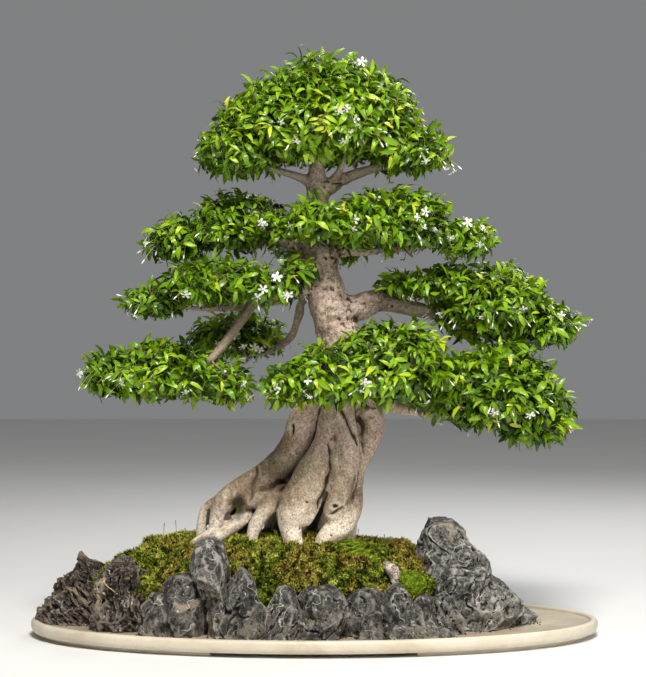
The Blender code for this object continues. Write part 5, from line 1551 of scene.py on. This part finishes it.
def make_ground(material):
    """The mossy soil: the CAD mound remeshed and swollen into cushions."""
    ground = remeshed(node_copy("moss_ground", "soil_mound"), 0.0030)
    spots = smoothed(read_points(ground), read_edges(ground), 4)
    write_points(ground, spots)
    normals = read_normals(ground)
    bend = np.stack([soft_noise(spots, 60.0, k) for k in (41, 42, 43)], axis=1) * 0.007
    cushions = -0.006 * np.ones(len(spots))
    for per_metre, height, seed in MOSS_CUSHIONS:
        near, _ = cell_noise(spots + bend, per_metre, seed)
        cushions += height * (1.0 - (near / 0.75) ** 2)
    high = np.clip((spots[:, 2] - 0.04) / 0.03, 0.0, 1.0)
    spots = spots + normals * (cushions * high)[:, None]
    right = np.clip((spots[:, 0] - 0.06) / 0.07, 0.0, 1.0)
    spots[:, 0] += 0.018 * right * right * (3.0 - 2.0 * right) * high
    rear = np.clip((spots[:, 1] + 0.075) / 0.045, 0.0, 1.0)
    for place, half_width, lift in MOSS_LIFTS:
        near = np.exp(-((spots[:, 0] - place) / half_width) ** 2)
        spots[:, 2] += lift * near * np.clip(normals[:, 2], 0.0, 1.0) * high * rear
    x, y, reach, depth = MOSS_DIP
    near = np.exp(-((spots[:, 0] - x) ** 2 + (spots[:, 1] - y) ** 2) / reach ** 2)
    spots[:, 2] -= depth * near * high
    write_points(ground, spots)
    store_hollows(ground, 8)
    thinned(ground, GROUND_SHARE)
    return dress(ground, material, ("soil_mound",))


def sprig_batch(feet, ways, heights, widths, hue, tone):
    """Thin pointed blades, as a batch for the heap."""
    draw = np.random.default_rng(len(feet))
    side = unit(np.cross(ways, draw.normal(size=ways.shape))) * widths[:, None]
    points = np.stack([feet - side, feet + side, feet + ways * heights[:, None]], axis=1)
    values = np.zeros((len(feet), 3, 3))
    values[:, 2, 0] = 1.0
    values[:, :, 1] = hue[:, None]
    values[:, :, 2] = tone[:, None]
    triangles = np.arange(len(feet) * 3).reshape(-1, 3)
    return points.reshape(-1, 3), triangles, 0, values.reshape(-1, 3)


def face_places(piece):
    """Centres, normals and areas of a mesh object's faces."""
    faces = piece.data.polygons
    area, normal, centre = (np.empty(len(faces) * size) for size in (1, 3, 3))
    faces.foreach_get("area", area)
    faces.foreach_get("normal", normal)
    faces.foreach_get("center", centre)
    return centre.reshape(-1, 3), normal.reshape(-1, 3), area


def face_hollows(piece):
    """How deep each face of an object lies in a hollow, from the stored values."""
    corners = np.empty(len(piece.data.loops), np.int32)
    piece.data.loops.foreach_get("vertex_index", corners)
    depth = np.empty(len(piece.data.vertices), np.float32)
    piece.data.attributes["hollow"].data.foreach_get("value", depth)
    first = np.empty(len(piece.data.polygons), np.int32)
    piece.data.polygons.foreach_get("loop_start", first)
    return depth[corners[first]].astype(float)


def make_sprigs(ground, blocked, material, bright):
    """Tufts of sprigs all over the moss, and longer blades in one patch."""
    draw = np.random.default_rng(7)
    centre, normal, area = face_places(ground)
    front = np.where(centre[:, 1] < 0.03, 1.0, 0.45)
    weight = area * np.clip(normal[:, 2] + 0.55, 0.0, 1.0) * (centre[:, 2] > 0.050) * front
    chosen = draw.choice(len(area), size=TUFT_COUNT, p=weight / weight.sum())
    depth = face_hollows(ground)[chosen]
    feet = centre[chosen] + draw.normal(0.0, 0.0012, (TUFT_COUNT, 3))
    tall = draw.uniform(0.0045, 0.0085, TUFT_COUNT) * (1.0 + 0.40 * soft_noise(feet, 45.0, 8))
    hue = draw.normal(0.0, 0.35, TUFT_COUNT)
    # A tuft's tone: random, and darker the deeper it stands in a hollow of the ground, painted shade
    tone = np.clip(draw.normal(0.54, 0.46, TUFT_COUNT) - 1.05 * np.clip(depth, -0.5, 1.2), 0.01, 1.0)
    feet, depth, tall, hue, tone = (
        np.repeat(values, TUFT_BLADES, axis=0) for values in (feet, depth, tall, hue, tone))
    ways = unit(
        np.repeat(normal[chosen], TUFT_BLADES, axis=0) + np.array([0.0, 0.0, 0.35])
        + 0.60 * draw.normal(size=feet.shape))
    clear = np.array([blocked.ray_cast(Vector(foot), Vector(way), 0.007)[0] is None
                      for foot, way in zip(feet, ways)])
    feet, ways, tall, hue, tone = (values[clear] for values in (feet, ways, tall, hue, tone))
    heap = Heap()
    widths = tall * draw.uniform(0.11, 0.19, len(tall))
    heap.add(*sprig_batch(feet - ways * 0.001, ways, tall, widths, hue, tone))
    dress(heap.build("moss_sprigs", [material]), None)
    near = ((feet[:, 0] - BLADE_PATCH[0]) / 0.034) ** 2 + (
        (feet[:, 1] - BLADE_PATCH[1]) / 0.016) ** 2 < 1.0
    feet = feet[near][:BLADE_COUNT] + np.array([0.0, 0.0, 0.003])
    ways = unit(np.array([1.0, -0.5, 0.30]) + 0.35 * draw.normal(size=feet.shape))
    ways[:, 2] = np.abs(ways[:, 2])
    tall = draw.uniform(0.010, 0.018, len(feet))
    heap = Heap()
    heap.add(*sprig_batch(feet, ways, tall, np.full(len(feet), 0.0012), tall, tall))
    return dress(heap.build("moss_blades", [bright]), None)


def make_cushion(material):
    """The smooth bright cushion of moss in front of the tower, with its short sprigs."""
    shape = bmesh.new()
    bmesh.ops.create_icosphere(shape, subdivisions=4, radius=1.0)
    mesh = bpy.data.meshes.new("moss_cushion")
    shape.to_mesh(mesh)
    shape.free()
    cushion = bpy.data.objects.new("moss_cushion", mesh)
    bpy.context.scene.collection.objects.link(cushion)
    spots = read_points(cushion)
    swell = 1.0 + 0.06 * layered_noise(spots, 2.2, 3, 3)
    spots = spots * swell[:, None] * np.array(CUSHION_SIZE) + np.array(CUSHION_PLACE)
    write_points(cushion, spots)
    mesh.shade_smooth()
    set_values(cushion, "hollow", np.zeros(len(spots)))
    dress(cushion, material)
    draw = np.random.default_rng(5)
    normals = read_normals(cushion)
    chosen = draw.choice(np.flatnonzero(normals[:, 2] > -0.2), 6000)
    feet = spots[chosen] + draw.normal(0.0, 0.0007, (len(chosen), 3))
    ways = unit(normals[chosen] + 0.35 * draw.normal(size=feet.shape))
    heap = Heap()
    heap.add(*sprig_batch(
        feet, ways, draw.uniform(0.0018, 0.0036, len(feet)), draw.uniform(0.0005, 0.0008, len(feet)),
        draw.normal(0.9, 0.2, len(feet)), draw.uniform(0.6, 1.0, len(feet))))
    dress(heap.build("moss_cushion_sprigs", [material]), None)


def make_stalks(ground, material):
    """Thin dry stalks that stand in the moss at the left."""
    seen = search_tree(ground)
    draw = np.random.default_rng(3)
    paths = []
    for x, y, height in STALKS:
        foot = seen.ray_cast(Vector((x, y, 0.3)), Vector((0.0, 0.0, -1.0)))[0]
        steps = np.linspace(0.0, 1.0, 5)
        lean = draw.normal(0.0, 0.10, 2)
        path = np.array(foot) + np.stack(
            [lean[0] * height * steps ** 2, lean[1] * height * steps ** 2,
             height * steps - 0.003], axis=1)
        paths.append(path)
    radii = np.tile(np.array([0.0006, 0.0005, 0.00045, 0.0005, 0.0010]), (len(paths), 1))
    points, triangles = tubes(np.array(paths), radii, 5)
    heap = Heap()
    heap.add(points, triangles, 0, plain_values(points, 0.5))
    return dress(heap.build("dry_stalks", [material]), None)


def make_fallen_twig(rocks, material):
    """A thin dry twig that lies on the rocks at the left."""
    paths = []
    for x, z in FALLEN_TWIG:
        found = rocks.ray_cast(Vector((x, -0.30, z)), Vector((0.0, 1.0, 0.0)))[0]
        if found is not None:
            paths.append(np.array(found) - np.array([0.0, 0.0012, 0.0]))
    radii = np.linspace(0.0009, 0.0005, len(paths))[None]
    points, triangles = tubes(np.array([paths]), radii, 6)
    heap = Heap()
    heap.add(points, triangles, 0, plain_values(points, 0.5))
    return dress(heap.build("fallen_twig", [material]), None)


def make_crumbs(rocks, material):
    """Crumbs of earth and chips of stone along the feet of the rocks."""
    draw = np.random.default_rng(9)
    feet = []
    for rock in rocks:
        spots, normals = read_points(rock), read_normals(rock)
        low = np.flatnonzero((spots[:, 2] < WELL_FLOOR + 0.006) & (np.abs(normals[:, 2]) < 0.7))
        chosen = draw.choice(low, CRUMBS_EACH)
        out = unit(normals[chosen] * np.array([1.0, 1.0, 0.0]) + 1e-6)
        reach = draw.exponential(0.0035, CRUMBS_EACH)[:, None]
        place = spots[chosen] + out * reach
        inside = (place[:, 0] / (TRAY_HALF_LENGTH - 0.015)) ** 2 + (
            place[:, 1] / (TRAY_HALF_WIDTH - 0.015)) ** 2 < 1.0
        feet.append(place[inside])
    feet = np.concatenate(feet)
    size = draw.uniform(0.0006, 0.0022, len(feet)) ** 1.0
    feet[:, 2] = WELL_FLOOR + size * 0.45
    corners = np.array([[1, 0, 0], [-1, 0, 0], [0, 1, 0], [0, -1, 0], [0, 0, 1], [0, 0, -1]], float)
    faces = np.array([
        [0, 2, 4], [2, 1, 4], [1, 3, 4], [3, 0, 4], [2, 0, 5], [1, 2, 5], [3, 1, 5], [0, 3, 5]])
    scale = draw.uniform(0.6, 1.3, (len(feet), 6, 3))
    angle = draw.uniform(0.0, math.tau, len(feet))[:, None]
    shapes = corners[None] * scale
    x = shapes[..., 0] * np.cos(angle) - shapes[..., 1] * np.sin(angle)
    y = shapes[..., 0] * np.sin(angle) + shapes[..., 1] * np.cos(angle)
    shapes = np.stack([x, y, shapes[..., 2] * 0.8], axis=-1) * size[:, None, None]
    points = (feet[:, None] + shapes).reshape(-1, 3)
    triangles = (faces[None] + (np.arange(len(feet)) * 6)[:, None, None]).reshape(-1, 3)
    crumbs = mesh_object("crumbs", points, triangles, [material])
    set_values(crumbs, "hollow", np.zeros(len(points)))
    return dress(crumbs, material)


# Tray

def tray_profile():
    """The tray's section from the middle of its well to the middle of its underside.

    Each entry is (inset from the outer edge, height, 1 inside the well).
    """
    return (
        (0.200, 0.0220, 1.0), (0.060, 0.0220, 1.0), (0.016, 0.0220, 1.0), (0.0128, 0.0228, 1.0),
        (0.0118, 0.0250, 0.6), (0.0105, 0.0266, 0.2), (0.0085, 0.0270, 0.0), (0.0040, 0.0269, 0.0),
        (0.0016, 0.0258, 0.0), (0.0004, 0.0238, 0.0), (0.0000, 0.0205, 0.0), (0.0003, 0.0150, 0.0),
        (0.0018, 0.0105, 0.0), (0.0045, 0.0078, 0.0), (0.0080, 0.0064, 0.0), (0.0160, 0.0060, 0.0),
        (0.0600, 0.0060, 0.0), (0.200, 0.0060, 0.0))


def ring_points(inset, height, angles):
    """Points of an ellipse inside the tray's outline."""
    return np.stack([
        (TRAY_HALF_LENGTH - inset) * np.cos(angles), (TRAY_HALF_WIDTH - inset) * np.sin(angles),
        np.full(len(angles), height)], axis=1)


def loft(rings, closed):
    """Triangles between rings of as many points, and their points in one array."""
    count = len(rings[0])
    triangles = []
    j = np.arange(count if closed else count - 1)
    after = (j + 1) % count
    for number in range(len(rings) - 1):
        low, high = number * count, (number + 1) * count
        triangles.append(np.stack([low + j, high + j, high + after], axis=1))
        triangles.append(np.stack([low + j, high + after, low + after], axis=1))
    return np.concatenate(rings), np.concatenate(triangles)


def make_tray(material):
    """The oval marble tray, with a rounded rim, a shallow well and two curved feet."""
    angles = np.arange(TRAY_STEPS) * math.tau / TRAY_STEPS
    profile = tray_profile()
    rings = [ring_points(inset, height, angles) for inset, height, _ in profile]
    points, triangles = loft(rings, True)
    well = np.repeat([entry[2] for entry in profile], TRAY_STEPS)
    top, bottom = len(points), len(points) + 1
    points = np.vstack([points, [[0.0, 0.0, WELL_FLOOR], [0.0, 0.0, FOOT_HEIGHT]]])
    j = np.arange(TRAY_STEPS)
    after = (j + 1) % TRAY_STEPS
    last = (len(profile) - 1) * TRAY_STEPS
    lids = [
        np.stack([np.full(TRAY_STEPS, top), j, after], axis=1),
        np.stack([last + j, np.full(TRAY_STEPS, bottom), last + after], axis=1)]
    triangles = np.concatenate([triangles] + lids)
    wells = [np.append(well, [1.0, 0.0])]
    all_points, all_triangles = [points], [triangles]
    count = len(points)
    edge = math.acos(FOOT_GAP_HALF_LENGTH / (TRAY_HALF_LENGTH - 0.03))
    for middle in (0.0, math.pi):
        arc = middle + np.linspace(-edge, edge, 120)
        section = (
            (0.0160, 0.0062), (0.0160, 0.0012), (0.0172, 0.0), (0.0488, 0.0), (0.0500, 0.0012),
            (0.0500, 0.0062), (0.0160, 0.0062))
        spots, faces = loft([ring_points(inset, height, arc) for inset, height in section], False)
        steps = len(arc)
        ends = [[(k + 1) * steps, k * steps, 0] for k in range(1, len(section) - 2)]
        ends += [[k * steps + steps - 1, (k + 1) * steps + steps - 1, steps - 1]
                 for k in range(1, len(section) - 2)]
        all_points.append(spots)
        all_triangles.append(np.concatenate([faces, np.array(ends)]) + count)
        wells.append(np.zeros(len(spots)))
        count += len(spots)
    tray = mesh_object(
        "marble_tray", np.concatenate(all_points), np.concatenate(all_triangles), [material])
    tray.data.set_sharp_from_angle(angle=math.radians(42))
    set_values(tray, "well", np.concatenate(wells))
    shape = bmesh.new()
    shape.from_mesh(tray.data)
    bmesh.ops.recalc_face_normals(shape, faces=shape.faces)
    shape.to_mesh(tray.data)
    shape.free()
    return dress(tray, material, ("tray",))


# Studio

def area_light(name, place, target, size, power, colour):
    """A soft square light aimed at a point."""
    lamp = bpy.data.lights.new(name, "AREA")
    lamp.shape = "SQUARE"
    lamp.size = size
    lamp.energy = power
    lamp.color = colour
    item = bpy.data.objects.new(name, lamp)
    bpy.context.scene.collection.objects.link(item)
    item.location = place
    item.rotation_euler = (Vector(target) - Vector(place)).to_track_quat("-Z", "Y").to_euler()


def make_studio():
    """Camera, lights, pale world and floor."""
    scene = bpy.context.scene
    data = bpy.data.cameras.new("camera")
    data.sensor_fit = "VERTICAL"
    data.sensor_height = SENSOR
    data.lens = LENS
    camera = bpy.data.objects.new("camera", data)
    scene.collection.objects.link(camera)
    camera.location = CAMERA_PLACE
    camera.rotation_euler = (math.pi / 2, 0.0, 0.0)
    scene.camera = camera
    scene.view_settings.view_transform = "Standard"
    world = bpy.data.worlds.new("studio")
    world.use_nodes = True
    world.node_tree.nodes["Background"].inputs[0].default_value = (0.80, 0.81, 0.82, 1.0)
    world.node_tree.nodes["Background"].inputs[1].default_value = 0.27
    scene.world = world
    middle = (0.0, 0.0, 0.45)
    area_light("key", (0.15, -2.1, 2.6), middle, 0.8, 144.0, (1.0, 0.97, 0.92))
    area_light("fill", (2.0, -2.0, 1.2), middle, 1.4, 24.0, (1.0, 0.98, 0.96))
    area_light("rim", (0.9, 2.0, 2.2), middle, 1.2, 26.0, (1.0, 1.0, 1.0))
    shape = bmesh.new()
    bmesh.ops.create_grid(shape, x_segments=1, y_segments=1, size=8.0)
    mesh = bpy.data.meshes.new("floor")
    shape.to_mesh(mesh)
    shape.free()
    floor = bpy.data.objects.new("floor", mesh)
    scene.collection.objects.link(floor)
    mesh.materials.append(floor_material())


def combined_tree(pieces):
    """One search tree of several pieces' faces."""
    spots, faces, count = [], [], 0
    for piece in pieces:
        points = read_points(piece)
        corners = [tuple(number + count for number in face.vertices) for face in piece.data.polygons]
        spots.extend(Vector(point) for point in points)
        faces.extend(corners)
        count += len(points)
    return BVHTree.FromPolygons(spots, faces)


def main():
    """Build every piece."""
    make_studio()
    make_tray(marble_material())
    wood = make_wood(bark_material())
    grey = rock_material("rock", (0.024, 0.022, 0.020), (0.084, 0.079, 0.070), 0.01)
    pale_grey = rock_material("rock_pale", (0.042, 0.040, 0.037), (0.135, 0.128, 0.116), 0.03)
    warm = rock_material("rock_warm", (0.022, 0.017, 0.013), (0.070, 0.056, 0.044), 0.10)
    rocks = []
    for number, node in enumerate(sorted(name for name in nodes if name.startswith("rock_"))):
        material = warm if node in NETTED_ROCKS else pale_grey if node in PALE_TOWER else grey
        rocks.append(make_rock(node, material, number))
    pale = rock_material("pale_stone", (0.170, 0.138, 0.115), (0.360, 0.305, 0.260), 0.02)
    make_pale_stone(pale)
    felt, sprigs, twigs = moss_ground_material(), moss_material(), twig_material()
    ground = make_ground(felt)
    blocked = combined_tree(rocks + [wood])
    bright = bright_moss_material()
    make_sprigs(ground, blocked, sprigs, bright)
    make_cushion(bright)
    make_stalks(ground, twigs)
    make_fallen_twig(blocked, straw_material())
    make_crumbs(rocks, felt)
    materials = [leaf_material(), twigs, petal_material(), stalk_material()]
    for number, pad in enumerate(PADS):
        make_foliage(pad, number, materials)


main()
